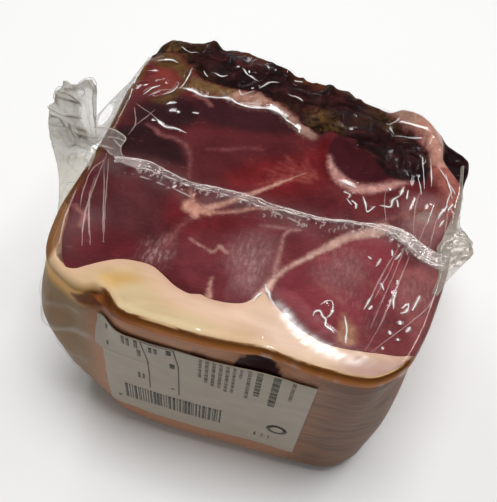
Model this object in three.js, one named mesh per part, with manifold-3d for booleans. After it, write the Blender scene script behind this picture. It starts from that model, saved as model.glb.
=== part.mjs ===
// A quarter of a boneless dry-cured ham, shrunk tight into clear film. It rests on one cut side with
// the other cut side up; the rind and its paper label face -Y, the dark craggy crust faces +Y.
// Lengths are millimetres and +Z is up.

import * as THREE from 'three';
import { mergeVertices } from 'three/addons/utils/BufferGeometryUtils.js';
import Module from 'manifold-3d';

const wasm = await Module();
wasm.setup();

// Block: height of the upper cut side, rounding of its rim, what the crust's rim adds, and its foot
const cutHeight = 87;
const rimRadius = 3;
const crustRounding = 3;
const footRadius = 7;
const middle = new THREE.Vector2(0, 4);

// Crust: its fall from the cut side to the back rim, the width of that slope, depth and size of crags,
// and how far the dark knob at the right back corner lies below the cut side
const crustFall = 5;
const crustWidth = 28;
const cragDepth = 4.2;
const cragSize = 12;
const knobDrop = 8;

// Walls: shoulder of the left wall, waist and foot of the right wall, taper of the left front corner
const shoulderOut = 5.2;
const shoulderHeight = 58;
const waistIn = 2.5;
const waistHeight = 68;
const haunchOut = 2.5;
const haunchHeight = 34;
const cornerTaper = 3.5;
const wallLump = 0.7;

// Rind: the cleft in its upper edge and the shallow hollow above the label
const cleftAt = -41;
const cleftDepth = 4.5;
const hollowAt = 14;
const hollowDepth = 2.2;

// Label: a sheet on the rind, its left edge, width, top, height, thickness and creases
const labelLeft = -39.5;
const labelWidth = 70;
const labelTop = 76;
const labelHeight = 58.5;
const labelThick = 0.5;
const creaseDepth = 0.7;

// Film: wall of the standing folds, width of the welded end seal, depth of its crinkles
const filmThick = 1.1;
const sealWidth = 4.6;
const crinkle = 0.7;
const crumple = 1.6;

// Gap that separate pieces keep to each other
const gap = 0.3;

// How finely the surfaces are divided
const columns = 108;
const wallSteps = 8;
const roundSteps = 3;
const topShares = [0.965, 0.925, 0.885, 0.845, 0.805, 0.765, 0.725, 0.68, 0.63, 0.56, 0.46, 0.33, 0.17];

// Outline of the block seen from above, from the left front corner round to the right
const planCurve = closedCurve([
  [-60, -46], [-52, -53.8], [-40, -58.8], [-26, -60.2], [-8, -60.5], [12, -60],
  [32, -59.8], [46, -58], [54.5, -51], [57.5, -38], [59.5, -18], [61.5, 4],
  [64, 20], [66, 33], [64, 45], [56, 51.5], [47, 57], [36, 59.5],
  [12, 63], [-12, 67.3], [-34, 71], [-48, 71], [-57, 66.5], [-61, 57],
  [-61, 34], [-60.5, 10], [-61.5, -12], [-62, -32],
]);

// Edge of the flat cut side along the crust, as depth over width
const crustEdge = openCurve([
  [-70, 8], [-60, 30], [-52, 37], [-38, 34.5], [-20, 34], [-8, 35.5], [4, 29],
  [16, 30], [28, 27], [38, 20], [46, 20], [48.5, 35], [52, 50], [70, 60],
]);

// Line between the lean and the fat, from where it enters on the left to where it leaves on the right
const fatLine = openCurve([
  [-74, -17], [-62, -20], [-59.5, -31], [-57.5, -39], [-52, -45], [-44, -44],
  [-37, -40.5], [-29.5, -39.2], [-24, -41], [-18, -45], [-7, -46.7], [1.5, -44.5],
  [8, -40.5], [13, -41.5], [20, -47], [28, -51.3], [36, -52.4], [44, -51],
  [50.5, -47.5], [58, -43], [74, -40],
]);

// Course of the end seal across the cut side, left to right
const sealCourse = openCurve([
  [-62, -1.5], [-52, -1.7], [-40, -3], [-28, -4.1], [-3, -6.7], [21, -6.1],
  [38, -4], [49, -3.6], [58, -6],
]);

// Free edge of the standing fold on the left, from the crust over the ear and down to the wall
const leftRoot = [-60.5, -2, 89.4];
const leftEdge = [
  [-59.5, 50, 84], [-60, 36, 88.4], [-60.2, 14, 96.6], [-60.4, -1, 102], [-59.6, -2, 112],
  [-58.6, -3, 119.5], [-65.5, -2, 117.5], [-71.8, -3, 112], [-76.3, -3, 100], [-77.4, -4, 90],
  [-76.6, -6, 82], [-73.5, -12.7, 72], [-71, -20, 68], [-63, -31, 58],
];

// Free edge of the fold on the right, from the back of the rim over the ear to the front corner
const rightRoot = [57, -6, 89.4];
const rightEdge = [
  [60.5, 34, 86], [62.5, 14, 89.5], [62.8, 1, 93.5], [65.5, 0, 92], [68.5, -3, 87.5],
  [69.6, -4.5, 83], [67.5, -9, 79.5], [62.8, -18, 84.5], [58, -31, 87.5], [51.5, -44, 88],
];

// Smooth closed curve through points of the plan
function closedCurve(points) {
  const places = points.map(([x, y]) => new THREE.Vector3(x, y, 0));
  const curve = new THREE.CatmullRomCurve3(places, true, 'centripetal');
  curve.arcLengthDivisions = 800;
  return curve;
}

// Smooth open curve through points of the plan, or of space where three values are given
function openCurve(points) {
  const places = points.map(([x, y, z = 0]) => new THREE.Vector3(x, y, z));
  const curve = new THREE.CatmullRomCurve3(places, false, 'centripetal');
  curve.arcLengthDivisions = 400;
  return curve;
}

// Smooth step from 0 to 1 while a value goes from one bound to the other
function ramp(value, from, to) {
  const share = THREE.MathUtils.clamp((value - from) / (to - from), 0, 1);
  return share * share * (3 - 2 * share);
}

// Soft bump of height 1 at a centre
function bell(value, centre, width) {
  const share = (value - centre) / width;
  return Math.exp(-share * share);
}

// Repeatable value from 0 to 1 at a point of a whole-number lattice
function lattice(x, y, z) {
  const wave = Math.sin(x * 127.1 + y * 311.7 + z * 74.7) * 43758.5453;
  return wave - Math.floor(wave);
}

// Smooth seeded noise from -1 to 1 with lumps of a given size
function noise(x, y, z, size, seed) {
  const place = [x / size + seed * 17, y / size, z / size];
  const cell = place.map(Math.floor);
  const blend = place.map((value, axis) => ramp(value - cell[axis], 0, 1));
  const weight = (axis, side) => (side ? blend[axis] : 1 - blend[axis]);
  let sum = 0;
  for (const i of [0, 1]) {
    for (const j of [0, 1]) {
      for (const k of [0, 1]) {
        const share = weight(0, i) * weight(1, j) * weight(2, k);
        sum += share * lattice(cell[0] + i, cell[1] + j, cell[2] + k);
      }
    }
  }
  return 2 * sum - 1;
}

// Crags of the dried crust: sharp creases between rounded lumps, from -1 to 1
function crags(x, y, z) {
  const coarse = 1 - 2 * Math.abs(noise(x, y, z, cragSize, 1));
  const fine = 1 - 2 * Math.abs(noise(x, y, z, cragSize / 2, 2));
  return 0.7 * coarse + 0.3 * fine;
}

// Depth of the crust's edge at a width, read off its curve
const crustEdgePoints = crustEdge.getPoints(240);
function crustEdgeDepth(x) {
  const next = crustEdgePoints.findIndex((point) => point.x >= x);
  if (next <= 0) {
    return x <= crustEdgePoints[0].x ? crustEdgePoints[0].y : crustEdgePoints.at(-1).y;
  }
  const [a, b] = [crustEdgePoints[next - 1], crustEdgePoints[next]];
  return a.y + (b.y - a.y) * (x - a.x) / (b.x - a.x);
}

// Height of the upper side: flat over the lean and fat and over the pale lobe at the right back
// corner, craggy and falling over the crust, low over the dark knob beyond the lobe
function topHeight(x, y) {
  const behind = y - crustEdgeDepth(x);
  const knob = ramp(x - 53.5 - 10 * (1 - ramp(y, 19, 37)), 0, 4);
  const inside = 1 - ramp(x, 28, 38) * ramp(y, 40, 48);
  const crusty = Math.max(inside * ramp(behind, -1, 7), 0.4 * knob);
  const fall = Math.max(inside * crustFall * ramp(behind, 0, crustWidth), knobDrop * knob);
  const swell = 0.5 * noise(x, y, 0, 34, 3) * (1 - crusty);
  return cutHeight - fall + swell + crusty * cragDepth * (crags(x, y, 40) - 0.45);
}

// How far a wall stands out from the plan outline at a place and height
function wallOut(x, y, z) {
  const left = ramp(-x, 50, 60);
  const right = ramp(x, 46, 57);
  const front = ramp(-y, 50, 57);
  const rough = ramp(y, 30, 52);
  const corner = Math.exp(-((x + 58) ** 2 + (y + 50) ** 2) / 400);
  let out = shoulderOut * left * bell(z, shoulderHeight, 20) * ramp(30 - y, -20, 20);
  out += right * (haunchOut * bell(z, haunchHeight, 24) - waistIn * bell(z, waistHeight, 9));
  out -= cornerTaper * corner * ramp(45 - z, 0, 45);
  out -= cleftDepth * bell(x, cleftAt, 5.5) * ramp(z, 60, 84) * ramp(-y, 48, 54);
  out -= hollowDepth * bell(x, hollowAt, 12) * bell(z, 81, 4) * front;
  out += wallLump * noise(x, y, z, 26, 4) * (1 - front);
  out += rough * cragDepth * 0.35 * (crags(x, y, z) - 0.3) * ramp(z, footRadius, footRadius + 12);
  return out;
}

// Point of the wall at a share of the way round and a height, moved out by a further distance
function wallPoint(share, z, out = 0) {
  const base = planCurve.getPointAt(share % 1);
  const along = planCurve.getTangentAt(share % 1);
  const reach = wallOut(base.x, base.y, z) + out;
  return new THREE.Vector3(base.x + along.y * reach, base.y - along.x * reach, z);
}

// Rings of the block from its foot to the middle of its top, all grown by one distance
function blockRings(grow) {
  const ringOf = (place) => Array.from({ length: columns }, (_, column) => place(column / columns));
  const rimHeight = (share) => {
    const rim = wallPoint(share, cutHeight - rimRadius);
    return topHeight(rim.x, rim.y) + grow;
  };
  const rimPoint = (share, turn) => {
    const top = rimHeight(share);
    const radius = rimRadius + crustRounding * ramp(planCurve.getPointAt(share).y, 35, 60);
    const inset = radius * (1 - Math.cos(turn));
    return wallPoint(share, top, grow - inset).setZ(top - radius * (1 - Math.sin(turn)));
  };
  const towardsMiddle = (point, share, z) => new THREE.Vector3(
    middle.x + (point.x - middle.x) * share, middle.y + (point.y - middle.y) * share, z);
  const rings = [];
  rings.push(ringOf((share) => towardsMiddle(wallPoint(share, 0, grow - footRadius), 0.5, -grow)));
  for (let step = 0; step < roundSteps; step += 1) {
    const turn = step / roundSteps * Math.PI / 2;
    const z = footRadius * (1 - Math.cos(turn));
    const inset = footRadius * (1 - Math.sin(turn));
    rings.push(ringOf((share) => wallPoint(share, z, grow - inset).setZ(z - grow)));
  }
  for (let step = 0; step < wallSteps; step += 1) {
    rings.push(ringOf((share) => {
      const upper = rimPoint(share, 0).z;
      return wallPoint(share, footRadius + (upper - footRadius) * step / wallSteps, grow);
    }));
  }
  for (let step = 0; step <= roundSteps; step += 1) {
    rings.push(ringOf((share) => rimPoint(share, step / roundSteps * Math.PI / 2)));
  }
  for (const scale of topShares) {
    rings.push(ringOf((share) => {
      const place = towardsMiddle(rimPoint(share, Math.PI / 2), scale, 0);
      return place.setZ(topHeight(place.x, place.y) + grow);
    }));
  }
  return rings;
}

// Closed mesh from a flat list of points and triangles, with doubled points and empty faces removed
function closedMesh(points, faces) {
  const geometry = new THREE.BufferGeometry();
  const values = points.flatMap((point) => point.toArray());
  geometry.setAttribute('position', new THREE.Float32BufferAttribute(values, 3));
  geometry.setIndex(faces.flat());
  const merged = mergeVertices(geometry, 1e-4);
  const index = merged.getIndex().array;
  const kept = [];
  for (let at = 0; at < index.length; at += 3) {
    const [a, b, c] = [index[at], index[at + 1], index[at + 2]];
    if (a !== b && b !== c && c !== a) {
      kept.push(a, b, c);
    }
  }
  merged.setIndex(kept);
  return merged;
}

// Closed body through rings of equal length, with a fan of triangles to a point at each end
function ringBody(rings, firstMiddle, lastMiddle) {
  const width = rings[0].length;
  const points = [...rings.flat(), firstMiddle, lastMiddle];
  const faces = [];
  for (let column = 0; column < width; column += 1) {
    const next = (column + 1) % width;
    for (let row = 0; row + 1 < rings.length; row += 1) {
      const [low, high] = [row * width, (row + 1) * width];
      faces.push([low + column, low + next, high + next], [low + column, high + next, high + column]);
    }
    const last = (rings.length - 1) * width;
    faces.push([points.length - 2, next, column], [points.length - 1, last + column, last + next]);
  }
  return closedMesh(points, faces);
}

// The whole block, grown by a distance
function blockBody(grow = 0) {
  const foot = new THREE.Vector3(middle.x, middle.y, -grow);
  const top = new THREE.Vector3(middle.x, middle.y, topHeight(middle.x, middle.y) + grow);
  return ringBody(blockRings(grow), foot, top);
}

// Closed body from a grid of surface points given a thickness to both sides
function sheetBody(grid, thickness) {
  const [rows, width] = [grid.length, grid[0].length];
  const within = (value, count) => THREE.MathUtils.clamp(value, 0, count - 1);
  const at = (row, column) => grid[within(row, rows)][within(column, width)];
  const normal = (row, column) => {
    const along = at(row + 1, column).clone().sub(at(row - 1, column));
    const across = at(row, column + 1).clone().sub(at(row, column - 1));
    return along.cross(across).normalize();
  };
  const side = (sign) => grid.flatMap((line, row) => line.map(
    (point, column) => point.clone().addScaledVector(normal(row, column), sign * thickness / 2)));
  const points = [...side(1), ...side(-1)];
  const back = rows * width;
  const faces = [];
  const quad = (a, b, c, d) => faces.push([a, b, c], [a, c, d]);
  for (let row = 0; row + 1 < rows; row += 1) {
    for (let column = 0; column + 1 < width; column += 1) {
      const [a, b] = [row * width + column, (row + 1) * width + column];
      quad(a, b, b + 1, a + 1);
      quad(back + a, back + a + 1, back + b + 1, back + b);
    }
    const [first, last] = [row * width, row * width + width - 1];
    quad(first, back + first, back + first + width, first + width);
    quad(last, last + width, back + last + width, back + last);
  }
  for (let column = 0; column + 1 < width; column += 1) {
    const last = (rows - 1) * width + column;
    quad(column, column + 1, back + column + 1, back + column);
    quad(last, back + last, back + last + 1, last + 1);
  }
  return closedMesh(points, faces);
}

// Solid for joining and cutting, from a closed mesh
function solidOf(geometry) {
  const bare = new THREE.BufferGeometry();
  bare.setAttribute('position', geometry.getAttribute('position'));
  bare.setIndex(geometry.getIndex());
  const merged = mergeVertices(bare, 1e-4);
  return new wasm.Manifold(new wasm.Mesh({
    numProp: 3,
    vertProperties: new Float32Array(merged.getAttribute('position').array),
    triVerts: new Uint32Array(merged.getIndex().array),
  }));
}

// Largest single body of a solid
function largestOf(solid) {
  return solid.decompose().reduce((best, piece) => (piece.volume() > best.volume() ? piece : best));
}

// Mesh of a solid, named and finished
function meshOf(name, solid, finish) {
  const { vertProperties, triVerts } = solid.getMesh();
  const geometry = new THREE.BufferGeometry();
  geometry.setAttribute('position', new THREE.BufferAttribute(new Float32Array(vertProperties), 3));
  geometry.setIndex(Array.from(triVerts));
  geometry.computeVertexNormals();
  const mesh = new THREE.Mesh(geometry, new THREE.MeshStandardMaterial(finish));
  mesh.name = name;
  return mesh;
}

// Upright prism over the lean: everything behind the fat line, with the line moved by a distance
function leanPrism(shift) {
  const steps = 110;
  const border = [];
  for (let step = 0; step <= steps; step += 1) {
    const point = fatLine.getPointAt(step / steps);
    const along = fatLine.getTangentAt(step / steps);
    border.push(new THREE.Vector2(point.x + along.y * shift, point.y - along.x * shift));
  }
  const shape = new THREE.Shape([...border, new THREE.Vector2(90, 95), new THREE.Vector2(-90, 95)]);
  const prism = new THREE.ExtrudeGeometry(shape, { depth: cutHeight + 60, bevelEnabled: false });
  prism.translate(0, 0, -20);
  prism.deleteAttribute('normal');
  prism.deleteAttribute('uv');
  return solidOf(mergeVertices(prism, 1e-4));
}

// Share of the way round at which the front wall reaches a width
function frontShare(x) {
  let [low, high] = [0, 0.3];
  for (let step = 0; step < 40; step += 1) {
    const half = (low + high) / 2;
    [low, high] = planCurve.getPointAt(half).x < x ? [half, high] : [low, half];
  }
  return low;
}

// The paper label, wrapped over the rind and lightly creased
function labelBody() {
  const [first, last] = [frontShare(labelLeft), frontShare(labelLeft + labelWidth)];
  const [across, down] = [22, 13];
  const grid = [];
  for (let row = 0; row <= across; row += 1) {
    const share = first + (last - first) * row / across;
    grid.push(Array.from({ length: down + 1 }, (_, column) => {
      const z = labelTop - labelHeight * column / down;
      const crease = creaseDepth * (0.5 + 0.5 * noise(row * 3, 0, z, 9, 6));
      return wallPoint(share, z, gap + labelThick + crease);
    }));
  }
  return solidOf(sheetBody(grid, labelThick));
}

// The welded end seal: a crinkled ribbon lying across the cut side
function sealBody() {
  const lengths = 84;
  const grid = [];
  for (let step = 0; step <= lengths; step += 1) {
    const share = step / lengths;
    const point = sealCourse.getPointAt(share);
    const along = sealCourse.getTangentAt(share);
    const width = sealWidth * (1 + 0.35 * noise(step * 2, 0, 0, 9, 7) + 0.5 * ramp(share, 0.86, 0.97));
    grid.push([-0.5, 0, 0.5].map((side) => {
      const [x, y] = [point.x + along.y * side * width, point.y - along.x * side * width];
      const lift = gap + filmThick + crinkle * (0.7 + noise(step * 3, side * 9, 0, 7, 8));
      return new THREE.Vector3(x, y, cutHeight + 0.5 + lift);
    }));
  }
  return solidOf(sheetBody(grid, filmThick));
}

// A standing fold of film: a fan of crumpled sheet between its root and its free edge
function foldBody(root, edge, seed) {
  const [around, outward] = [46, 6];
  const start = new THREE.Vector3(...root);
  const rim = openCurve(edge);
  const grid = [];
  for (let step = 0; step <= around; step += 1) {
    const end = rim.getPointAt(step / around);
    const aside = end.clone().sub(start).cross(rim.getTangentAt(step / around)).normalize();
    grid.push(Array.from({ length: outward + 1 }, (_, ring) => {
      const share = ring / outward;
      const point = start.clone().lerp(end, share);
      const free = ramp(share, 0.15, 0.7) * ramp(step, 5, 14) * ramp(around - step, 4, 12);
      return point.addScaledVector(aside, crumple * free * noise(point.x, point.y, point.z, 8, seed));
    }));
  }
  return solidOf(sheetBody(grid, filmThick));
}

const ham = solidOf(blockBody());
const lean = largestOf(ham.intersect(leanPrism(0)));
const fatCap = largestOf(ham.subtract(leanPrism(gap)));
const standingFilm = sealBody().add(foldBody(leftRoot, leftEdge, 9)).add(foldBody(rightRoot, rightEdge, 10));
const film = largestOf(standingFilm.subtract(solidOf(blockBody(gap))));

const group = new THREE.Group();
group.add(meshOf('lean', lean, { color: 0x5b1f27, roughness: 0.35, metalness: 0 }));
group.add(meshOf('fat_cap', fatCap, { color: 0xdcb795, roughness: 0.4, metalness: 0 }));
group.add(meshOf('film_bag', film, { color: 0xd9dcd8, roughness: 0.15, metalness: 0 }));
group.add(meshOf('label', labelBody(), { color: 0xd3cdc1, roughness: 0.55, metalness: 0 }));

// The middle of the bounding box's underside becomes the origin
const box = new THREE.Box3().setFromObject(group);
const centre = box.getCenter(new THREE.Vector3());
group.position.set(-centre.x, -centre.y, -box.min.z);

export default group;
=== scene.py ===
# A quarter of a boneless dry-cured ham, shrunk tight into clear film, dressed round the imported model.
# Shapes are worked out in millimetres in the block's own place and moved into the frame at the end.
import math

import bmesh
import bpy
import numpy as np
from mathutils import Matrix, Vector


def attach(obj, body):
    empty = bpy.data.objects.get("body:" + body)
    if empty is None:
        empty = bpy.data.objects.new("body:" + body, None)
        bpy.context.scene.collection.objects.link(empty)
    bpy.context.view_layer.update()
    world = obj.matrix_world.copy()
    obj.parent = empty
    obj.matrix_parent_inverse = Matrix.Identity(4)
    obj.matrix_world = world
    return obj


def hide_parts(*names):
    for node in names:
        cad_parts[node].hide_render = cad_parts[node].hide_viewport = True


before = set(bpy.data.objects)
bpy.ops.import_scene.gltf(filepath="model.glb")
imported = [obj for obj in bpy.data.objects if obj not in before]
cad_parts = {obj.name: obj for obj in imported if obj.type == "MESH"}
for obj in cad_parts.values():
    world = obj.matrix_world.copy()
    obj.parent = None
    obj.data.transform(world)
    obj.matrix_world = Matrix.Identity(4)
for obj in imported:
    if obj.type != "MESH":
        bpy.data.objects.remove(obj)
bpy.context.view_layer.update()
mm = 0.001
blockPlace = np.array([3.876, -5.210, 0.0])  # where the block's own origin lies in the frame

print("camera, light and floor")

cameraLook = {
    "place": (16.8, -154.7, 281.4),
    "heading": 8.03,       # degrees from +Y towards -X
    "lookDown": 56.3,
    "roll": 8.46,
    "lens": 52.7,
    "sensor": 36.0,
}

studio = {
    # place, size in metres and power in watts
    "lamps": {
        "keyLight": ((0.02, 0.05, 1.00), (0.52, 0.34), 6.8),
        "leftLight": ((-0.50, 0.50, 0.92), (0.12, 0.75), 2.4),
        "rightLight": ((0.50, 0.50, 0.92), (0.12, 0.75), 2.4),
        "frontLight": ((-0.35, -1.05, 0.55), (1.0, 0.6), 0.9),
    },
    "lampAim": (0, 0, 0.06),
    "floorTone": (243, 243, 242),
    "skyTone": 0.95,
    "skyLight": 0.16,
    "skyShine": 0.03,   # what a glossy surface mirrors of the sky
}


def inFrame(place):
    return (np.asarray(place, float) + blockPlace) * mm


def linear(tone):
    share = np.asarray(tone, float) / 255.0
    return np.where(share <= 0.04045, share / 12.92, ((share + 0.055) / 1.055) ** 2.4)


# Tones of many points, moved towards another tone by each point's share
def mixed(tone, share, other):
    share = np.clip(share, 0, 1)[:, None]
    return tone * (1 - share) + other * share


# Puts an object at a place, turned to three axes
def setUp(name, data, place, axes):
    made = bpy.data.objects.new(name, data)
    bpy.context.scene.collection.objects.link(made)
    made.matrix_world = Matrix.Translation(Vector(place)) @ Matrix(axes).transposed().to_4x4()
    return made


def makeCamera(look):
    heading, down, roll = (math.radians(look[key]) for key in ("heading", "lookDown", "roll"))
    ahead = Vector((-math.sin(heading) * math.cos(down), math.cos(heading) * math.cos(down), -math.sin(down)))
    level = Vector((math.cos(heading), math.sin(heading), 0))
    up = level.cross(ahead)
    right = level * math.cos(roll) + up * math.sin(roll)
    up = right.cross(ahead)
    data = bpy.data.cameras.new("camera")
    data.lens = look["lens"]
    data.sensor_width = look["sensor"]
    data.clip_start = 0.01
    data.clip_end = 20
    bpy.context.scene.camera = setUp("camera", data, inFrame(look["place"]), (right, up, -ahead))


def areaLight(name, place, size, power):
    data = bpy.data.lights.new(name, "AREA")
    data.shape = "RECTANGLE"
    data.size, data.size_y = size
    data.energy = power
    behind = (Vector(place) - Vector(studio["lampAim"])).normalized()
    along = (Vector((0, 1, 0)) - behind * behind.y).normalized()
    setUp(name, data, place, (along.cross(behind), along, behind))


def put(tree, kind, inputs=None, **settings):
    made = tree.nodes.new(kind)
    for key, value in settings.items():
        setattr(made, key, value)
    for key, value in (inputs or {}).items():
        socket = made.inputs[key]
        if isinstance(value, bpy.types.NodeSocket):
            tree.links.new(value, socket)
        else:
            socket.default_value = value
    return made


def maths(tree, how, first, second=0.0, third=0.0, clamp=False):
    made = put(tree, "ShaderNodeMath", {0: first, 1: second, 2: third}, operation=how, use_clamp=clamp)
    return made.outputs[0]


def times(tree, first, second, clamp=False):
    return maths(tree, "MULTIPLY", first, second, clamp=clamp)


def blended(tree, share, first, second, how="MIX"):
    made = put(tree, "ShaderNodeMix", {0: share, 6: first, 7: second},
               data_type="RGBA", blend_type=how, clamp_factor=True)
    return made.outputs[2]


# A tone multiplied by a tint that a mask picks between two
def tinted(tree, tone, mask, low, high):
    return blended(tree, 1.0, tone, blended(tree, mask, (*low, 1), (*high, 1)), "MULTIPLY")


# A tone moved by a share towards itself multiplied by a tint
def towards(tree, tone, share, tint):
    return blended(tree, share, tone, blended(tree, 1.0, tone, (*tint, 1), "MULTIPLY"))


def rgba(tone):
    return (*linear(tone), 1.0)


def field(tree, name, output="Fac"):
    return put(tree, "ShaderNodeAttribute", attribute_name=name).outputs[output]


def newMaterial(name):
    material = bpy.data.materials.new(name)
    material.use_nodes = True
    material.node_tree.nodes.clear()
    return material, material.node_tree


def setSurface(tree, inputs):
    shader = put(tree, "ShaderNodeBsdfPrincipled", inputs)
    put(tree, "ShaderNodeOutputMaterial", {"Surface": shader.outputs[0]})


# The normals of a surface with bumps, which are fine noise where no height is given
def bumped(tree, strength, distance, scale=500.0, height=None):
    if height is None:
        height = grain(tree, "Height", scale=scale, detail=3.0)
    lift = put(tree, "ShaderNodeBump", {"Height": height, "Strength": strength, "Distance": distance})
    return lift.outputs[0]


def makeStage(look):
    bm = bmesh.new()
    bmesh.ops.create_grid(bm, x_segments=1, y_segments=1, size=3)
    mesh = bpy.data.meshes.new("floor")
    bm.to_mesh(mesh)
    bm.free()
    floor = bpy.data.objects.new("floor", mesh)
    bpy.context.scene.collection.objects.link(floor)
    material, tree = newMaterial("palePaper")
    place = put(tree, "ShaderNodeTexCoord").outputs["Object"]
    clouds = put(tree, "ShaderNodeTexNoise", {"Vector": place, "Scale": 3.0, "Detail": 2.0}).outputs[0]
    pale = rgba(look["floorTone"])
    tone = blended(tree, clouds, pale, tuple(0.985 * value for value in pale))
    setSurface(tree, {"Base Color": tone, "Roughness": 0.9})
    mesh.materials.append(material)
    world = bpy.data.worlds.new("studioAir")
    world.use_nodes = True
    tree = world.node_tree
    tree.nodes.clear()
    path = put(tree, "ShaderNodeLightPath").outputs
    light = look["skyLight"]
    strength = maths(tree, "MULTIPLY_ADD", path["Is Camera Ray"], look["skyTone"] - light, light)
    strength = maths(tree, "MULTIPLY_ADD", path["Is Glossy Ray"], look["skyShine"] - light, strength)
    air = put(tree, "ShaderNodeBackground", {"Color": (1.0, 0.995, 0.98, 1), "Strength": strength})
    put(tree, "ShaderNodeOutputWorld", {"Surface": air.outputs[0]})
    bpy.context.scene.world = world
    bpy.context.scene.view_settings.view_transform = "Standard"


makeCamera(cameraLook)
makeStage(studio)
for lampName, lampSet in studio["lamps"].items():
    areaLight(lampName, *lampSet)

print("the block's form")

block = {
    "cutHeight": 87.0,
    "rimRadius": 3.0,
    "crustRounding": 3.0,
    "footRadius": 7.0,
    "underInset": 14.0,    # how far in from the foot the last row lies
    "endReach": 24.0,      # how far from its ends the wall along the fat line follows the outer walls
    "crustFall": 5.0,
    "crustWidth": 28.0,
    "cragDepth": 3.6,
    "cragSize": 12.0,
    "knobDrop": 8.0,
    "shoulderOut": 5.2,
    "shoulderHeight": 58.0,
    "waistIn": 2.5,
    "waistHeight": 68.0,
    "haunchOut": 2.5,
    "haunchHeight": 34.0,
    "cornerTaper": 5.5,
    "cornerOut": 2.2,
    "wallLump": 0.7,
    "cleftAt": -41.0,
    "cleftDepth": 4.5,
    "hollowAt": 14.0,
    "hollowDepth": 2.2,
    "plan": [
        (-60.8, -46), (-52, -53.8), (-40, -58.8), (-26, -60.2), (-8, -60.5), (12, -60), (32, -59.8),
        (46, -58), (53.8, -50.4), (57.8, -39), (60.6, -24), (62.3, -12), (63.2, 4), (64.4, 20), (66.2, 33),
        (66.6, 46.4), (57.5, 53), (47, 56.6), (36, 59), (12, 63), (-12, 67.3), (-34, 71), (-46, 71),
        (-54, 68.6), (-59.6, 67.4), (-62.4, 59), (-62.4, 36), (-61.2, 10), (-62.4, -12), (-63.6, -30)],
    "crustEdge": [
        (-70, 8), (-60, 30), (-52, 37), (-38, 34.5), (-20, 34), (-8, 35.5), (4, 29), (16, 30), (28, 27),
        (38, 20), (46, 20), (48.5, 35), (52, 50), (70, 60)],
    "fatLine": [
        (-74, -24), (-62, -27), (-58.8, -38), (-58.3, -44.6), (-56.3, -48), (-53.5, -49.4), (-50.5, -49.2),
        (-47.7, -47.3), (-43, -44.1), (-38.5, -41.9), (-33, -41), (-28.3, -41.2), (-23.5, -43.5),
        (-19.4, -45.8), (-14.5, -47), (-11, -46.2), (-8.7, -46.8), (-4.2, -46.7), (-1.1, -46.2),
        (2.4, -44.9), (5, -41.9), (6.9, -39.6), (9.3, -41.2), (12.1, -43.1), (15.5, -45.5), (19.7, -48),
        (24.2, -49.8), (28.1, -51), (33.1, -51.1), (39.4, -50.4), (45.3, -49.4), (51.3, -48.4), (58, -45.5),
        (74, -42)],
    # the edge that the pale lobe at the back right curves down behind, and how far it falls there
    "lobeEdge": [
        (30, 51), (34.9, 52.8), (38.3, 53.8), (44.1, 53.4), (47.6, 50.6), (50.8, 45.6), (54.2, 40),
        (58.2, 36)],
    "lobeFall": 6.5,
}

# The four corners of the block's outline, which the grids of its upper side run between
cornerPlaces = {
    "frontLeft": (-58, -49), "frontRight": (53, -53), "backRight": (62.5, 47.5), "backLeft": (-57.5, 66)}


def ramp(value, start, end):
    share = np.clip((value - start) / (end - start), 0, 1)
    return share * share * (3 - 2 * share)


def bell(value, centre, width):
    share = (value - centre) / width
    return np.exp(-share * share)


def lattice(x, y, z):
    wave = np.sin(x * 127.1 + y * 311.7 + z * 74.7) * 43758.5453
    return wave - np.floor(wave)


# Smooth seeded noise from -1 to 1 with lumps of a given size
def lumps(x, y, z, size, seed):
    place = np.broadcast_arrays(x / size + seed * 17.0, y / size, z / size)
    cell = [np.floor(value) for value in place]
    share = [ramp(value - low, 0, 1) for value, low in zip(place, cell)]
    total = 0
    for i in (0, 1):
        for j in (0, 1):
            for k in (0, 1):
                weight = 1
                for side, part in zip((i, j, k), share):
                    weight = weight * (part if side else 1 - part)
                total = total + weight * lattice(cell[0] + i, cell[1] + j, cell[2] + k)
    return 2 * total - 1


# Crags of the dried crust: sharp creases between rounded lumps, from -1 to 1
def crags(x, y, z):
    coarse = 1 - 2 * np.abs(lumps(x, y, z, block["cragSize"], 1))
    fine = 1 - 2 * np.abs(lumps(x, y, z, block["cragSize"] / 2, 2))
    return 0.7 * coarse + 0.3 * fine


# Points evenly spaced along a centripetal Catmull-Rom curve
def smoothLine(points, step=0.5, closed=False):
    knots = np.asarray(points, float)
    if closed:
        around = np.vstack([knots[-1], knots, knots[0], knots[1]])
    else:
        around = np.vstack([2 * knots[0] - knots[1], knots, 2 * knots[-1] - knots[-2]])
    run = []
    share = np.linspace(0, 1, 24, endpoint=False)[:, None]
    for a, b, c, d in zip(around, around[1:], around[2:], around[3:]):
        t1 = max(np.linalg.norm(b - a) ** 0.5, 1e-6)
        t2 = t1 + max(np.linalg.norm(c - b) ** 0.5, 1e-6)
        t3 = t2 + max(np.linalg.norm(d - c) ** 0.5, 1e-6)
        t = t1 + (t2 - t1) * share
        first = (a * (t1 - t) + b * t) / t1
        second = (b * (t2 - t) + c * (t - t1)) / (t2 - t1)
        third = (c * (t3 - t) + d * (t - t2)) / (t3 - t2)
        left = (first * (t2 - t) + second * t) / t2
        right = (second * (t3 - t) + third * (t - t1)) / (t3 - t1)
        run.append((left * (t2 - t) + right * (t - t1)) / (t2 - t1))
    run.append(knots[:1] if closed else knots[-1:])
    run = np.vstack(run)
    count = max(3, int(round(lengthsOf(run)[-1] / step)))
    return alongLine(run, np.linspace(0, 1, count + 1))


def lengthsOf(line):
    return np.concatenate([[0], np.cumsum(np.linalg.norm(np.diff(line, axis=0), axis=1))])


# Points at shares of a line's length
def alongLine(line, share):
    reach = lengthsOf(line)
    return np.stack([np.interp(share, reach / reach[-1], column) for column in line.T], -1)


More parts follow.
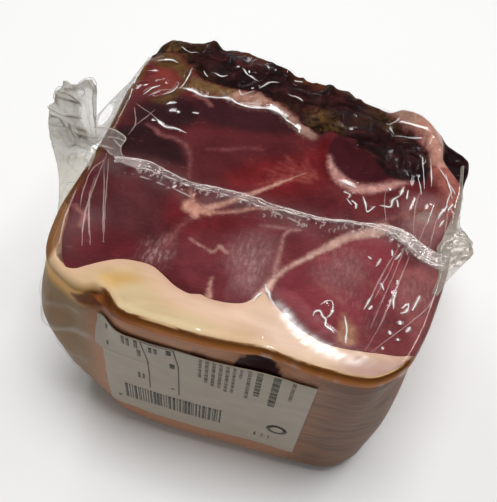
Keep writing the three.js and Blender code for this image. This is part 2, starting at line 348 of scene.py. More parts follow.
# Distance from points to a line, the side it lies on, and the share of the line nearest to it
def nearLine(place, line, reach=1e9):
    near = np.full(len(place), float(reach))
    side = np.ones(len(place))
    share = np.zeros(len(place))
    low, high = line[:, :2].min(0) - reach, line[:, :2].max(0) + reach
    picked = np.flatnonzero(((place[:, :2] > low) & (place[:, :2] < high)).all(1))
    x, y = place[picked, 0], place[picked, 1]
    best, bestSide, bestShare = near[picked], side[picked], share[picked]
    lengths = lengthsOf(line[:, :2])
    for index in range(len(line) - 1):
        start, run = line[index, :2], line[index + 1, :2] - line[index, :2]
        size = max(float(run @ run), 1e-12)
        t = np.clip(((x - start[0]) * run[0] + (y - start[1]) * run[1]) / size, 0, 1)
        dx, dy = x - start[0] - t * run[0], y - start[1] - t * run[1]
        away = np.hypot(dx, dy)
        closer = away < best
        best = np.where(closer, away, best)
        bestSide = np.where(closer, np.sign(run[0] * dy - run[1] * dx), bestSide)
        bestShare = np.where(closer, (lengths[index] + t * math.sqrt(size)) / lengths[-1], bestShare)
    near[picked], side[picked], share[picked] = best, bestSide, bestShare
    return near, side, share


# Distance inside a closed outline, negative outside it
def insideBy(place, outline, reach=1e9):
    near = nearLine(place, outline, reach)[0]
    x, y = place[:, 0], place[:, 1]
    inside = np.zeros(len(place), bool)
    for (x0, y0), (x1, y1) in zip(outline[:-1, :2], outline[1:, :2]):
        if y0 != y1:
            crosses = ((y0 > y) != (y1 > y)) & (x < (x1 - x0) * (y - y0) / (y1 - y0) + x0)
            inside ^= crosses
    return np.where(inside, near, -near)


planLine = smoothLine(block["plan"], 0.3, closed=True)
planTurn = np.gradient(np.vstack([planLine[-2], planLine, planLine[1]]), axis=0)[1:-1]
planTurn /= np.linalg.norm(planTurn, axis=1)[:, None]
planShare = lengthsOf(planLine) / lengthsOf(planLine)[-1]
crustLine = smoothLine(block["crustEdge"], 0.5)
fatLine = smoothLine(block["fatLine"], 0.4)
lobeLine = smoothLine(block["lobeEdge"], 0.7)


# Point of the plan outline and its outward direction at a share of the way round
def planAt(share):
    share = np.mod(share, 1.0)
    point = np.stack([np.interp(share, planShare, column) for column in planLine.T], -1)
    turn = np.stack([np.interp(share, planShare, column) for column in planTurn.T], -1)
    turn /= np.linalg.norm(turn, axis=-1)[..., None]
    return point, np.stack([turn[..., 1], -turn[..., 0]], -1)


# Where the upper side slopes down towards the front: the middle of the slope, its fall and its width
fatSlope = {
    "course": [(3, -42), (9, -44), (14, -44.5), (19, -48), (25, -51.5), (31, -54), (38, -56), (45, -57)],
    "fall": 0.92,
    "width": 6.2,
}
slopeLine = smoothLine(fatSlope["course"], 1.0)


def slopeFall(x, y):
    near, side, share = nearLine(np.column_stack([x, y]), slopeLine, 15.0)
    ahead = -side * near
    across = ramp(ahead, -fatSlope["width"] / 2, fatSlope["width"] / 2)
    return fatSlope["fall"] * across * np.sin(math.pi * np.clip(share, 0, 1)) * ramp(15.0 - near, 0, 7)


# Distance behind the crust's edge, the share of the dark knob, and the share that isn't the pale lobe
def crustShare(x, y):
    behind = y - np.interp(x, crustLine[:, 0], crustLine[:, 1])
    knob = ramp(x - 53.5 - 10 * (1 - ramp(y, 19, 37)), 0, 4)
    inside = 1 - ramp(x, 28, 38) * ramp(y, 40, 48)
    return behind, knob, inside


# Height of the upper side; the film bridges the creases that the ham has
def topHeight(x, y, bridged=False):
    behind, knob, inside = crustShare(x, y)
    crusty = np.maximum(inside * ramp(behind, -1, 7), 0.4 * knob)
    fall = inside * block["crustFall"] * ramp(behind, 0, block["crustWidth"])
    fall = np.maximum(fall, block["knobDrop"] * knob)
    near, side, _ = nearLine(np.column_stack([x, y]), lobeLine, 24.0)
    lobe = ramp(side * near, -1.5, 7) * ramp(24.0 - near, 0, 6) * ramp(x, 29, 38) * (1 - 0.8 * knob)
    fall = fall + block["lobeFall"] * lobe
    swell = 0.5 * lumps(x, y, 0, 34, 3) * (1 - crusty) - slopeFall(x, y)
    rough = crags(x, y, 40)
    if bridged:
        rough = 0.1 + 0.42 * np.logaddexp(0, (rough - 0.1) / 0.42) + 0.1 * lumps(x, y, 9, 5, 41)
    else:
        rough = rough + 0.14 * (np.abs(lumps(x, y, 0, 2.6, 42)) - 0.6)
    return block["cutHeight"] - fall + swell + crusty * block["cragDepth"] * (rough - 0.45)


# Nearness to the front left corner, where the block narrows towards its foot
def cornerShare(x, y):
    return np.exp(-((x + 58) ** 2 + (y + 50) ** 2) / 400)


# How far a wall stands out from the plan outline at a place and height
def wallOut(x, y, z, bridged=False):
    left, right, front = ramp(-x, 50, 60), ramp(x, 46, 57), ramp(-y, 50, 57)
    rough = ramp(y, 30, 52)
    corner = cornerShare(x, y)
    out = block["shoulderOut"] * left * bell(z, block["shoulderHeight"], 20) * ramp(30 - y, -20, 20)
    out = out + right * (block["haunchOut"] * bell(z, block["haunchHeight"], 24)
                         - block["waistIn"] * bell(z, block["waistHeight"], 9))
    out += corner * (block["cornerOut"] * bell(z, 36, 18) - block["cornerTaper"] * ramp(26 - z, 0, 26))
    out -= block["cleftDepth"] * bell(x, block["cleftAt"], 5.5) * ramp(z, 60, 84) * ramp(-y, 48, 54)
    out -= block["hollowDepth"] * bell(x, block["hollowAt"], 12) * bell(z, 81, 4) * front
    out += block["wallLump"] * lumps(x, y, z, 26, 4) * (1 - front)
    creases = crags(x, y, z)
    if bridged:
        creases = np.maximum(creases, -0.1)
    else:
        creases = creases + ramp(z, 62, 78) * (np.maximum(creases, -0.1) - creases)
    return out + rough * block["cragDepth"] * 0.35 * (creases - 0.3) * ramp(z, 7, 19)


rimHeight = block["cutHeight"] - block["rimRadius"]
rimBase, rimOutward = planAt(planShare)
rimLine = rimBase + rimOutward * wallOut(rimBase[:, 0], rimBase[:, 1], rimHeight)[:, None]


def rimAt(share):
    share = np.mod(share, 1.0)
    return np.stack([np.interp(share, planShare, column) for column in rimLine.T], -1)


def shareNear(place):
    return planShare[np.argmin(np.linalg.norm(planLine - np.asarray(place, float), axis=1))]


corners = {key: shareNear(value) for key, value in cornerPlaces.items()}


# Where the fat line leaves the block: the share of the outline there, and the line's last point before it
def crossing(low, high):
    inside = insideBy(fatLine, rimLine)
    for index in range(low, high):
        if (inside[index] > 0) != (inside[index + 1] > 0):
            t = inside[index] / (inside[index] - inside[index + 1])
            point = fatLine[index] + t * (fatLine[index + 1] - fatLine[index])
            return planShare[np.argmin(np.linalg.norm(rimLine - point, axis=1))], index


halfWay = len(fatLine) // 2
leftShare, leftIndex = crossing(0, halfWay)
rightShare, rightIndex = crossing(halfWay, len(fatLine) - 1)
innerLine = np.vstack([rimAt(leftShare), fatLine[leftIndex + 1:rightIndex + 1], rimAt(rightShare)])

# Grids over the upper side: each side runs along the outline between two shares, or along the fat line
frontLeft, frontRight, backRight, backLeft = (corners[key] for key in cornerPlaces)
grids = {
    "lean": {"front": None, "right": (rightShare, backRight), "back": (backLeft, backRight),
             "left": (leftShare, backLeft)},
    "fat": {"front": (frontLeft, frontRight), "right": (frontRight, rightShare), "back": None,
            "left": (frontLeft + 1, leftShare)},
    "whole": {"front": (frontLeft, frontRight), "right": (frontRight, backRight),
              "back": (backLeft, backRight), "left": (frontLeft + 1, backLeft)},
}

# Rows of the walls: depth of the first ones below the rim, then the wall's, then those of the foot's turn
rows = {"near": [0.3, 0.7, 1.2, 1.8, 2.6, 3.6], "wall": 38, "foot": 5}
rowCount = len(rows["near"]) + rows["wall"] + rows["foot"] + 1      # the last one lies under the block
edgeSteps = [0.0, 0.12, 0.42, 0.85, 1.4, 2.1, 3.0]                  # where the grid's lines crowd at the rim


# A flat grid whose border is drawn down row by row, with the last row closed: x and y run from 0 to 1
# over the upper side, and z counts the rows
def rowMesh(across, along):
    bm = bmesh.new()
    bmesh.ops.create_grid(bm, x_segments=across, y_segments=along, size=0.5)
    bmesh.ops.translate(bm, verts=bm.verts, vec=(0.5, 0.5, 0))
    border = [edge for edge in bm.edges if edge.is_boundary]
    for _ in range(rowCount):
        drawn = bmesh.ops.extrude_edge_only(bm, edges=border)["geom"]
        below = [part for part in drawn if isinstance(part, bmesh.types.BMVert)]
        border = [part for part in drawn if isinstance(part, bmesh.types.BMEdge) and part.is_boundary]
        bmesh.ops.translate(bm, verts=below, vec=(0, 0, -1))
    bmesh.ops.contextual_create(bm, geom=border)
    bmesh.ops.recalc_face_normals(bm, faces=bm.faces)
    return bm


# Even shares turned into shares that crowd together at the outline
def crowded(share, cells, length, low=True, high=True):
    steps = np.arange(len(edgeSteps))
    counts, places = [0.0], [0.0]
    if low:
        counts, places = list(steps), list(np.array(edgeSteps) / length)
    if high:
        counts = counts + list(cells - steps[::-1])
        places = places + list(1 - np.array(edgeSteps[::-1]) / length)
    else:
        counts, places = counts + [cells], places + [1.0]
    return np.interp(share * cells, counts, places)


# Turns the counted grid of rowMesh into flat places, with each point's row and, at the border, its share of
# the outline. grow moves everything outwards.
def onBlock(counted, kind, across, along, grow):
    sides = grids[kind]
    u, v, row = counted[:, 0], counted[:, 1], np.round(-counted[:, 2]).astype(int)
    atFront, atBack, atLeft, atRight = v < 1e-6, v > 1 - 1e-6, u < 1e-6, u > 1 - 1e-6
    u = crowded(u, across, 118.0)
    depth = 118.0 if kind != "fat" else 22.0
    v = crowded(v, along, depth, sides["front"] is not None, sides["back"] is not None)

    def sideLine(name, share):
        if sides[name] is None:
            return alongLine(innerLine, share), np.full(share.shape, np.nan)
        start, end = sides[name]
        at = start + (end - start) * share
        outward = planAt(at)[1]
        return rimAt(at) + outward * grow, at

    front, back = sideLine("front", u), sideLine("back", u)
    left, right = sideLine("left", v), sideLine("right", v)
    corner = {}
    for name, share in (("front", 0.0), ("front", 1.0), ("back", 0.0), ("back", 1.0)):
        corner[name, share] = sideLine(name, np.array([share]))[0][0]
    uu, vv = u[:, None], v[:, None]
    place = ((1 - vv) * front[0] + vv * back[0] + (1 - uu) * left[0] + uu * right[0]
             - (1 - uu) * (1 - vv) * corner["front", 0.0] - uu * (1 - vv) * corner["front", 1.0]
             - (1 - uu) * vv * corner["back", 0.0] - uu * vv * corner["back", 1.0])
    share = np.where(atFront, front[1], np.where(atBack, back[1], np.where(atLeft, left[1], right[1])))
    # a corner belongs to the outline, also where one of its sides is the fat line
    other = np.where(atLeft, left[1], right[1])
    isCorner = (atFront | atBack) & (atLeft | atRight)
    share = np.where(isCorner & np.isnan(share), other, share)
    return place, row, np.where(atFront | atBack | atLeft | atRight, share, np.nan)


def rimRound(y):
    return block["rimRadius"] + block["crustRounding"] * ramp(y, 35, 60)


# How far the rounded rim lies below the upper side, at a distance in from the rim
def rimDrop(inset, y):
    radius = rimRound(y)
    return radius - np.sqrt(np.maximum(radius ** 2 - np.maximum(radius - inset, 0) ** 2, 0))


# Full places of a piece's points, with the distance in from the rim and the row
def blockPoints(counted, kind, across, along, grow, bridged, ripple):
    place, row, share = onBlock(counted, kind, across, along, grow)
    x, y = place[:, 0], place[:, 1]
    outer = rimLine + rimOutward * grow
    inset = np.zeros(len(place))
    top = row == 0
    inset[top] = np.maximum(insideBy(place[top], outer, 7.0), 0)
    inset[top & ~np.isnan(share)] = 0
    z = topHeight(x, y, bridged) + grow - rimDrop(inset, y)
    if ripple is not None:
        z[top] += ripple(x[top], y[top]) * ramp(inset[top], 0, 3)
    result = np.column_stack([x, y, z])
    wall = ~top
    wallPlace, outward = planAt(np.where(np.isnan(share), 0, share))
    start = topHeight(x, y, bridged) + grow - rimRound(y)
    nearRows, wallRows, footRows = len(rows["near"]), rows["wall"], rows["foot"]
    foot = block["footRadius"]
    down = np.interp(row, np.arange(nearRows + 1), [0.0] + rows["near"])
    below = np.clip((row - nearRows) / wallRows, 0, 1)
    height = start - down
    lastNear = start - rows["near"][-1]
    height = np.where(row > nearRows, lastNear + (foot - lastNear) * below, height)
    turn = np.clip((row - nearRows - wallRows) / footRows, 0, 1) * math.pi / 2
    height = np.where(turn > 0, foot * (1 - np.sin(turn)), height)
    pulled = foot * (1 - np.cos(turn))
    inner = row > nearRows + wallRows + footRows
    pulled = np.where(inner, foot + block["underInset"], pulled)
    height = np.where(inner, 0.0, height) - grow * ramp(turn, 0, 1.5)
    reach = wallOut(wallPlace[:, 0], wallPlace[:, 1], np.maximum(height, 0), bridged) + grow - pulled
    out = wallPlace + outward * reach[:, None]
    if ripple is not None:
        lift = ripple(out[:, 0], out[:, 1], height) * ramp(height, 4, 12)
        out = out + outward * lift[:, None]
    outline = wall & ~np.isnan(share)
    result[outline, :2] = out[outline]
    result[wall, 2] = height[wall]
    # the wall along the fat line follows the outer walls at its two ends
    seam = wall & np.isnan(share)
    if seam.any():
        for endShare, endPoint in ((leftShare, innerLine[0]), (rightShare, innerLine[-1])):
            base, outward = planAt(np.array([endShare]))
            reach = wallOut(base[:, 0], base[:, 1], np.maximum(height[seam], 0)) - pulled[seam]
            moved = base + outward * reach[:, None] - rimAt(endShare)
            away = np.linalg.norm(result[seam, :2] - endPoint, axis=1)
            result[seam, :2] += moved * ramp(1 - away / block["endReach"], 0, 1)[:, None]
        drawnIn = np.minimum(pulled[seam], foot) + block["cornerTaper"] * ramp(26 - height[seam], 0, 26)
        result[seam, :2] += (0.75 * cornerShare(result[seam, 0], result[seam, 1]) * drawnIn)[:, None]
    return result, inset, row


# The mesh of a piece over the block, with what blockPoints gives for it
def blockMesh(kind, look, grow=0.0, bridged=False, ripple=None):
    bm = rowMesh(look["across"], look["along"])
    return bm, *blockPoints(countedPlaces(bm), kind, look["across"], look["along"], grow, bridged, ripple)


# Moves a mesh to its places in the frame, paints its fields and tones, and hands the piece to the frame
def finishPiece(name, bm, places, material, node, fields=None, tones=None):
    mesh = bpy.data.meshes.new(name)
    bm.to_mesh(mesh)
    bm.free()
    mesh.vertices.foreach_set("co", inFrame(places).astype(np.float32).ravel())
    for key, values in (fields or {}).items():
        mesh.attributes.new(key, "FLOAT", "POINT").data.foreach_set("value", values.astype(np.float32))
    for key, values in (tones or {}).items():
        filled = np.column_stack([values, np.ones(len(values))]).astype(np.float32)
        mesh.attributes.new(key, "FLOAT_COLOR", "POINT").data.foreach_set("color", filled.ravel())
    mesh.update()
    placed = bmesh.new()
    placed.from_mesh(mesh)
    bmesh.ops.recalc_face_normals(placed, faces=placed.faces)
    placed.to_mesh(mesh)
    placed.free()
    mesh.polygons.foreach_set("use_smooth", [True] * len(mesh.polygons))
    piece = bpy.data.objects.new(name, mesh)
    bpy.context.scene.collection.objects.link(piece)
    mesh.materials.append(material)
    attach(piece, "root")
    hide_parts(node)
    print("  ", name, len(mesh.vertices), "points")


def countedPlaces(bm):
    return np.array([vert.co for vert in bm.verts])


print("shared shader groups")


# A node group with named inputs and outputs; build gets the tree and the two dictionaries of sockets
def shaderGroup(name, inputs, outputs, build):
    tree = bpy.data.node_groups.new(name, "ShaderNodeTree")
    for key, (kind, value) in inputs.items():
        socket = tree.interface.new_socket(key, in_out="INPUT", socket_type="NodeSocket" + kind)
        socket.default_value = value
    for key, kind in outputs.items():
        tree.interface.new_socket(key, in_out="OUTPUT", socket_type="NodeSocket" + kind)
    given = tree.nodes.new("NodeGroupInput").outputs
    result = build(tree, given)
    last = tree.nodes.new("NodeGroupOutput")
    for key, socket in result.items():
        tree.links.new(socket, last.inputs[key])
    return tree


def masked(tree, value, given):
    levels = {"Value": value, "From Min": given["Low"], "From Max": given["High"]}
    return put(tree, "ShaderNodeMapRange", levels, interpolation_type="SMOOTHSTEP").outputs[0]


# Noise drawn out along the axes, cut to a mask between two levels
def grainBuild(tree, given):
    place = put(tree, "ShaderNodeTexCoord").outputs["Object"]
    drawn = put(tree, "ShaderNodeVectorMath", {0: place, 1: given["Stretch"]}, operation="MULTIPLY")
    pattern = put(tree, "ShaderNodeTexNoise", {
        "Vector": drawn.outputs[0], "Scale": given["Scale"], "Detail": given["Detail"],
        "Distortion": given["Twist"]})
    return {"Mask": masked(tree, pattern.outputs[0], given), "Height": pattern.outputs[0]}


grainGroup = shaderGroup("grain", {
    "Stretch": ("Vector", (1.0, 1.0, 1.0)), "Scale": ("Float", 100.0), "Detail": ("Float", 4.0),
    "Twist": ("Float", 0.0), "Low": ("Float", 0.3), "High": ("Float", 0.7)},
    {"Mask": "Float", "Height": "Float"}, grainBuild)


# A painted field turned into a mask with a ragged edge
def raggedBuild(tree, given):
    place = put(tree, "ShaderNodeTexCoord").outputs["Object"]
    pattern = put(tree, "ShaderNodeTexNoise", {"Vector": place, "Scale": given["Scale"], "Detail": 3.0})
    jitter = maths(tree, "SUBTRACT", pattern.outputs[0], 0.5)
    value = maths(tree, "MULTIPLY_ADD", jitter, given["Raggedness"], given["Field"])
    return {"Mask": masked(tree, value, given)}


raggedGroup = shaderGroup("raggedEdge", {
    "Field": ("Float", 0.0), "Scale": ("Float", 900.0), "Raggedness": ("Float", 0.8),
    "Low": ("Float", -1.0), "High": ("Float", 1.0)}, {"Mask": "Float"}, raggedBuild)


def grain(tree, output="Mask", **values):
    given = {key.capitalize(): value for key, value in values.items()}
    return put(tree, "ShaderNodeGroup", given, node_tree=grainGroup).outputs[output]


def ragged(tree, source, **values):
    given = {key.capitalize(): value for key, value in values.items()}
    return put(tree, "ShaderNodeGroup", {"Field": source, **given}, node_tree=raggedGroup).outputs["Mask"]


print("colours of the cut side")

leanLook = {
    "across": 216,
    "along": 186,
    "base": (92, 33, 37),
    # soft stretches of muscle: tone, how soft the edge is, and outline
    "muscles": [
        ((80, 27, 32), 4, [
            (-60, -42), (-60, -18), (-57, -6), (-42, -4), (-28, -6), (-26, -16), (-26, -34), (-39, -41),
            (-51, -47)]),
        ((84, 38, 42), 7, [(-50, -12), (-36, -10), (-31, -22), (-36, -34), (-47, -30)]),
        ((98, 28, 33), 3, [(-31, -8), (-26, -8), (-25, -15), (-24, -21), (-29, -24), (-32, -17)]),
        ((92, 27, 33), 3, [(-56, -30), (-44, -32), (-30, -34), (-27, -40), (-40, -42), (-52, -46)]),
        ((42, 16, 19), 4, [(-60, 8), (-51, 16), (-43, 13), (-35, 10), (-30, 1), (-43, -1), (-55, -1)]),
        ((48, 20, 24), 3, [(-56, 15), (-55, 23), (-47, 31), (-37, 31), (-33, 22), (-40, 16), (-49, 15)]),
        ((58, 25, 30), 3, [(-37, 33), (-22, 37), (-6, 37), (3, 31), (0, 25), (-16, 22), (-30, 22)]),
        ((86, 33, 37), 4, [(-33, 20), (-16, 21), (0, 25), (4, 20), (-4, 9), (-17, 1), (-28, 0), (-31, 9)]),
        ((108, 30, 33), 4, [(-17, -2), (-12, 8), (5, 18), (11, 22), (16, 10), (9, 1), (-3, -4)]),
        ((104, 32, 37), 3, [(-21, -21), (-11, -14), (-1, -12), (-1, -20), (-7, -27), (-15, -31), (-22, -29)]),
        ((106, 44, 49), 3, [
            (-21, -25), (-11, -22), (0, -14), (12, -10), (20, -15), (16, -27), (13, -38), (7, -42),
            (-3, -46), (-11, -44), (-19, -42), (-23, -35)]),
        ((118, 72, 74), 4, [(-5, -22), (1, -17), (7, -19), (7, -28), (5, -36), (0, -40), (-5, -35)]),
        ((124, 52, 59), 3, [
            (15, -25), (23, -17), (37, -7), (46, -12), (49, -25), (49, -40), (42, -49), (30, -50), (18, -43),
            (11, -38)]),
        ((130, 74, 76), 4, [(24, -22), (32, -16), (36, -22), (34, -30), (26, -32), (20, -28)]),
        ((134, 76, 76), 3, [(47, -18), (65, -13), (63, -30), (60, -46), (50, -47), (48, -33)]),
        ((108, 46, 50), 3, [(39, -40), (50, -36), (55, -46), (46, -50), (38, -50)]),
        ((104, 44, 46), 2.5, [(18, 8), (26, 7), (39, 10), (52, 16), (56, 12), (43, 5), (33, -2), (22, 3)]),
        ((134, 92, 90), 3, [(47, 13), (57, 15), (60, 9), (58, -1), (53, -7), (46, 0), (44, 7)]),
        ((60, 19, 25), 0.9, [
            (14.6, 22.8), (14.8, 28.8), (18.5, 34.2), (25.2, 32.4), (31.5, 29.7), (35.7, 26.2), (38.1, 19.9),
            (34.5, 15.8), (28, 12.7), (22.4, 14), (17.8, 17.6)]),
        ((92, 20, 24), 1.2, [
            (11, 23), (12, 29), (14.3, 29), (14.2, 22.8), (17, 17), (21, 12.5), (18, 11), (13, 17)]),
        ((112, 50, 44), 3, [(-56, 32), (-55, 44), (-51, 46), (-46, 42), (-44, 37), (-50, 29)])],
    # pale shapes with crisp edges: tone, softness of the edge and outline
    "patches": [
        ((162, 128, 112), 1.8, [(34, 53), (38, 57), (43, 57), (46, 52), (44, 47), (40, 46), (36.6, 48)]),
        ((182, 134, 118), 1.8, [
            (42, 57), (50, 55), (56, 49), (57.5, 41), (60, 34), (60, 30), (56, 28), (51.5, 28), (50.2, 33),
            (48.2, 39), (45.8, 44.4), (42, 46.5)]),
        ((158, 94, 84), 1.8, [
            (51, 30), (58, 31), (61.5, 26), (63, 20), (63, 12), (59.5, 9), (58, 13), (56.4, 18), (54, 22),
            (51.8, 24.6)]),
        ((178, 146, 128), 1.2, [(59.5, 33), (62.6, 30), (65, 22), (66, 8), (62.2, 6), (62, 14), (61.6, 24)]),
        ((160, 122, 106), 1.6, [
            (-27, 38), (-24, 42.6), (-19.1, 42.5), (-9, 41), (-2.9, 39.1), (0, 35.5), (-3, 33.6),
            (-7.4, 36.6), (-11.9, 36.2), (-17.6, 34.9), (-22.6, 35.5)]),
        ((158, 126, 112), 1.2, [
            (-3.4, 38.6), (2, 35.4), (6.6, 32), (8.8, 29.6), (7.6, 27.4), (3.6, 28.4), (0.6, 30.4),
            (-3, 33.6)]),
        ((110, 84, 54), 1.3, [
            (-42.4, 37.5), (-41.5, 42.8), (-37.5, 45.3), (-30.6, 44.5), (-24, 42.6), (-25, 38.4),
            (-33.8, 36.6), (-38.5, 36)]),
        ((196, 144, 126), 0.8, [
            (-26.8, -14.6), (-25.2, -12.6), (-24.6, -9.6), (-23.8, -12.2), (-22, -13.2), (-19.5, -14),
            (-16.4, -13.2), (-17.5, -15.3), (-16.6, -16.6), (-20, -17.2), (-20.8, -19.4), (-22.6, -19.8),
            (-23.6, -18.2), (-26.2, -17.2)]),
        ((166, 122, 94), 1, [
            (32, -39.4), (34, -41.4), (36.2, -42.9), (37.6, -45.4), (37.2, -48.6), (34.6, -49.6),
            (32.4, -48.8), (31.9, -44.7), (32.1, -41.7)]),
        ((152, 126, 118), 1.2, [(50.5, 9.4), (53.5, 9), (53.8, 5), (51, 3), (48.3, 4.5), (48.6, 8)]),
        ((92, 66, 38), 1.2, [
            (-61, 50.8), (-57.5, 57), (-50.8, 55), (-44.5, 49.5), (-41.5, 39.1), (-43.4, 31.9), (-47.2, 26),
            (-52, 26), (-49, 29.5), (-44.6, 37), (-46.4, 42.2), (-50.8, 46.8), (-55.5, 44.6), (-57.5, 46)])],
    # pale seams: tone, softness, and points with half the seam's width
    "seams": [
        ((128, 76, 76), 0.7, [
            (-49.5, 14.2, 0.3), (-46.4, 13.4, 0.5), (-43.7, 11.6, 0.9), (-38.5, 11.4, 0.6), (-34.2, 10, 0.8),
            (-31.6, 7, 0.6), (-29.6, 1.5, 0.4), (-28.2, -4, 0.2)]),
        ((190, 142, 126), 0.6, [
            (-20, -14.6, 1.2), (-15.4, -11.9, 1), (-9.7, -6.6, 0.8), (-3.5, -1, 0.7), (3, 5.3, 0.6),
            (9, 11, 0.3)]),
        ((184, 134, 120), 0.6, [
            (-18.5, -15.9, 1), (-13.7, -14.4, 0.55), (-8, -11.8, 0.55), (-4, -9.4, 0.45), (4, -6.6, 0.3)]),
        ((180, 130, 118), 0.6, [(-23.6, -13.4, 0.9), (-25.4, -10.8, 0.6), (-26.2, -8.4, 0.4)]),
        ((140, 78, 78), 1.6, [(-22.4, -19, 0.5), (-24.4, -23.5, 0.3), (-25.8, -28, 0.3), (-26.6, -33, 0.9)]),
        ((202, 164, 150), 0.6, [
            (39.5, -3.4, 2.2), (36.5, -5.6, 2.3), (32.5, -8.2, 1.6), (28.5, -10.7, 1.5), (23.3, -16.3, 1.4),
            (19.8, -20, 0.9), (16.6, -23.7, 0.8), (11.9, -28.9, 0.7), (9, -34.1, 0.9), (7.7, -38.3, 1.4),
            (6.6, -42.5, 2.2)]),
        ((176, 132, 126), 0.6, [
            (12.6, -13.2, 0.25), (9.4, -14.4, 0.45), (8, -17.6, 0.35), (8.4, -22, 0.4), (8.4, -27.5, 0.6),
            (8.5, -33, 0.6)]),
        ((150, 104, 100), 0.7, [(0.2, -15.2, 0.3), (4.4, -14.6, 0.4), (8.6, -14, 0.3)]),
        ((192, 144, 136), 0.9, [
            (15.6, 21.4, 0.3), (17.2, 17, 1), (19.8, 13.4, 1.9), (23, 11.4, 2.2), (28.2, 10.4, 2),
            (33.6, 12.4, 1.7), (37.9, 15.2, 1.5), (42, 18, 1), (45.6, 20.6, 0.4)]),
        ((138, 88, 84), 0.8, [
            (56, 12.2, 1.2), (53, 9.6, 1.6), (49.4, 7.4, 1.8), (45.5, 4.6, 1.2), (42, 2.4, 0.8),
            (37.7, -1.4, 0.6), (34.5, -4.2, 0.5)]),
        ((186, 140, 130), 0.5, [(-20.4, -27.6, 0.1), (-17.6, -28.8, 0.3), (-15, -29.4, 0.2)]),
        ((190, 146, 136), 0.5, [
            (-14, -29.6, 0.3), (-12.4, -30.4, 0.4), (-11.4, -29.4, 0.3), (-10.8, -27.8, 0.35)]),
        ((194, 150, 140), 0.5, [(-10.6, -27.4, 0.5), (-9, -28.4, 0.6), (-7.4, -29.2, 0.2)]),
        ((196, 150, 134), 0.6, [
            (-9.6, -39.5, 0.15), (-9.4, -41.5, 0.35), (-9, -43.8, 0.55), (-8.6, -46.4, 1)]),
        ((150, 92, 88), 0.7, [
            (31.4, -24.4, 0.3), (35.8, -25.5, 0.45), (40.3, -27.3, 0.35), (43.2, -29.6, 0.2)]),
        ((150, 92, 88), 0.8, [(23, -31.5, 0.3), (27, -33, 0.5), (31, -35.5, 0.3)]),
        ((158, 104, 98), 0.7, [
            (-59.6, -26.7, 0.6), (-57, -28.6, 0.4), (-55.2, -29.1, 0.8), (-55.1, -33.6, 0.4)]),
        ((150, 96, 90), 0.8, [(-38, 34, 0.3), (-34, 33.5, 0.6), (-31, 31, 0.4)]),
        ((126, 66, 68), 0.8, [(-26, 10.6, 0.2), (-19, 12.6, 0.5), (-12.4, 15.8, 0.3), (-8, 16.4, 0.5)])],
    # streaks that fan out from a node towards the left and the back
    "fan": {
        "tone": (150, 74, 70), "soft": 0.8, "count": 15, "node": (11.5, 9.5),
        "spread": [(-9, -3.6), (-8.5, 0), (-8, 4), (-6, 8), (-3, 12), (1, 16.5), (6, 19.5)],
    },
    # the dried crust: the outline of what it covers, from the left rim along its front edge
    "crustArea": [
        (-66, 52), (-57, 57), (-50.8, 55), (-44.5, 50.5), (-41.5, 46), (-37.5, 45.5), (-30.6, 44.6),
        (-19.1, 43), (-9, 41), (-2.9, 39.6), (3, 36), (6, 32.5), (9.5, 30.4), (13.3, 33.3), (19.3, 31.8),
        (25.4, 29), (30.3, 26), (33.9, 21.5), (39.7, 18.8), (45.6, 19.5), (49.2, 20.6), (50.3, 26),
        (49.6, 32), (47.4, 38.5), (44.8, 43.6), (41.6, 45), (38.4, 45.2), (35.4, 48), (33, 52), (31, 66),
        (0, 80), (-40, 88), (-70, 80)],
    # olive and golden stretches of the crust: centre, reach and strength
    "oliveSpots": [
        (8, 41, 5, 0.9), (14.5, 37, 4, 0.8), (11, 34, 3, 0.8), (35, 48.5, 4, 0.9), (31, 52, 5, 0.7),
        (41, 43, 2.5, 0.6), (-55, 60, 7, 0.9), (-47, 64, 4, 0.35), (-5, 42, 4, 0.4), (24, 45, 4, 0.25),
        (49, 32, 2, 0.5), (-44, 45, 3.5, 0.8), (-37, 46, 4, 0.7)],
    # pale haze painted into the lean, partly fine flecks of fat and partly a painted reflection of the film
    # over it: centre, reach and strength
    "haze": [
        (-27, -31, 2.6, 0.5), (-28.4, -36, 4.2, 0.75), (-31, -39, 3, 0.4), (0, -29, 7, 0.55),
        (2, -36, 5, 0.45), (29, -23, 9, 0.3), (33, -33, 6, 0.2), (48, 3, 6, 0.3), (52, -26, 7, 0.3),
        (42, -40, 8, 0.12)],
}

fatLook = {
    "across": 236,
    "along": 44,
    "base": (208, 178, 143),
    "pink": (214, 166, 150),        # beside the lean
    # soft stretches: tone, how soft the edge is, and outline
    "areas": [
        ((222, 190, 166), 5, [(-30, -42), (-10, -47), (8, -42), (16, -50), (6, -54), (-20, -50)]),
        ((204, 182, 144), 3, [
            (-36, -52), (-34, -48), (-27, -50), (-20, -54), (-4, -56), (-10, -60), (-34, -60)]),
        ((196, 168, 134), 2.5, [
            (-59, -46), (-54, -51), (-46, -49), (-40, -46), (-42, -52), (-52, -54), (-59, -52)]),
        ((150, 116, 64), 2, [
            (-66, -50), (-59, -52), (-52, -53.6), (-46, -54), (-42, -52.6), (-40, -56), (-50, -62),
            (-66, -58)]),
        ((98, 54, 20), 1.1, [
            (-43, -54.4), (-41, -53.8), (-38.8, -54.6), (-36.6, -55.4), (-34.6, -57), (-36, -61),
            (-43, -61)]),
        ((206, 168, 104), 2.5, [(-42, -49), (-36, -46.6), (-30, -46.6), (-33, -49), (-38, -52)]),
        ((122, 82, 50), 1.4, [
            (-68, -14), (-55.5, -14), (-56.4, -30), (-57.8, -40), (-58.6, -45), (-60.4, -49.5), (-62, -52),
            (-68, -50)]),
        ((182, 148, 136), 4, [(32, -56), (40, -52), (52, -48), (62, -42), (60, -54), (44, -60)]),
        ((214, 184, 162), 4, [(4, -46), (14, -43), (24, -51), (34, -55), (20, -58), (8, -54)])],
}


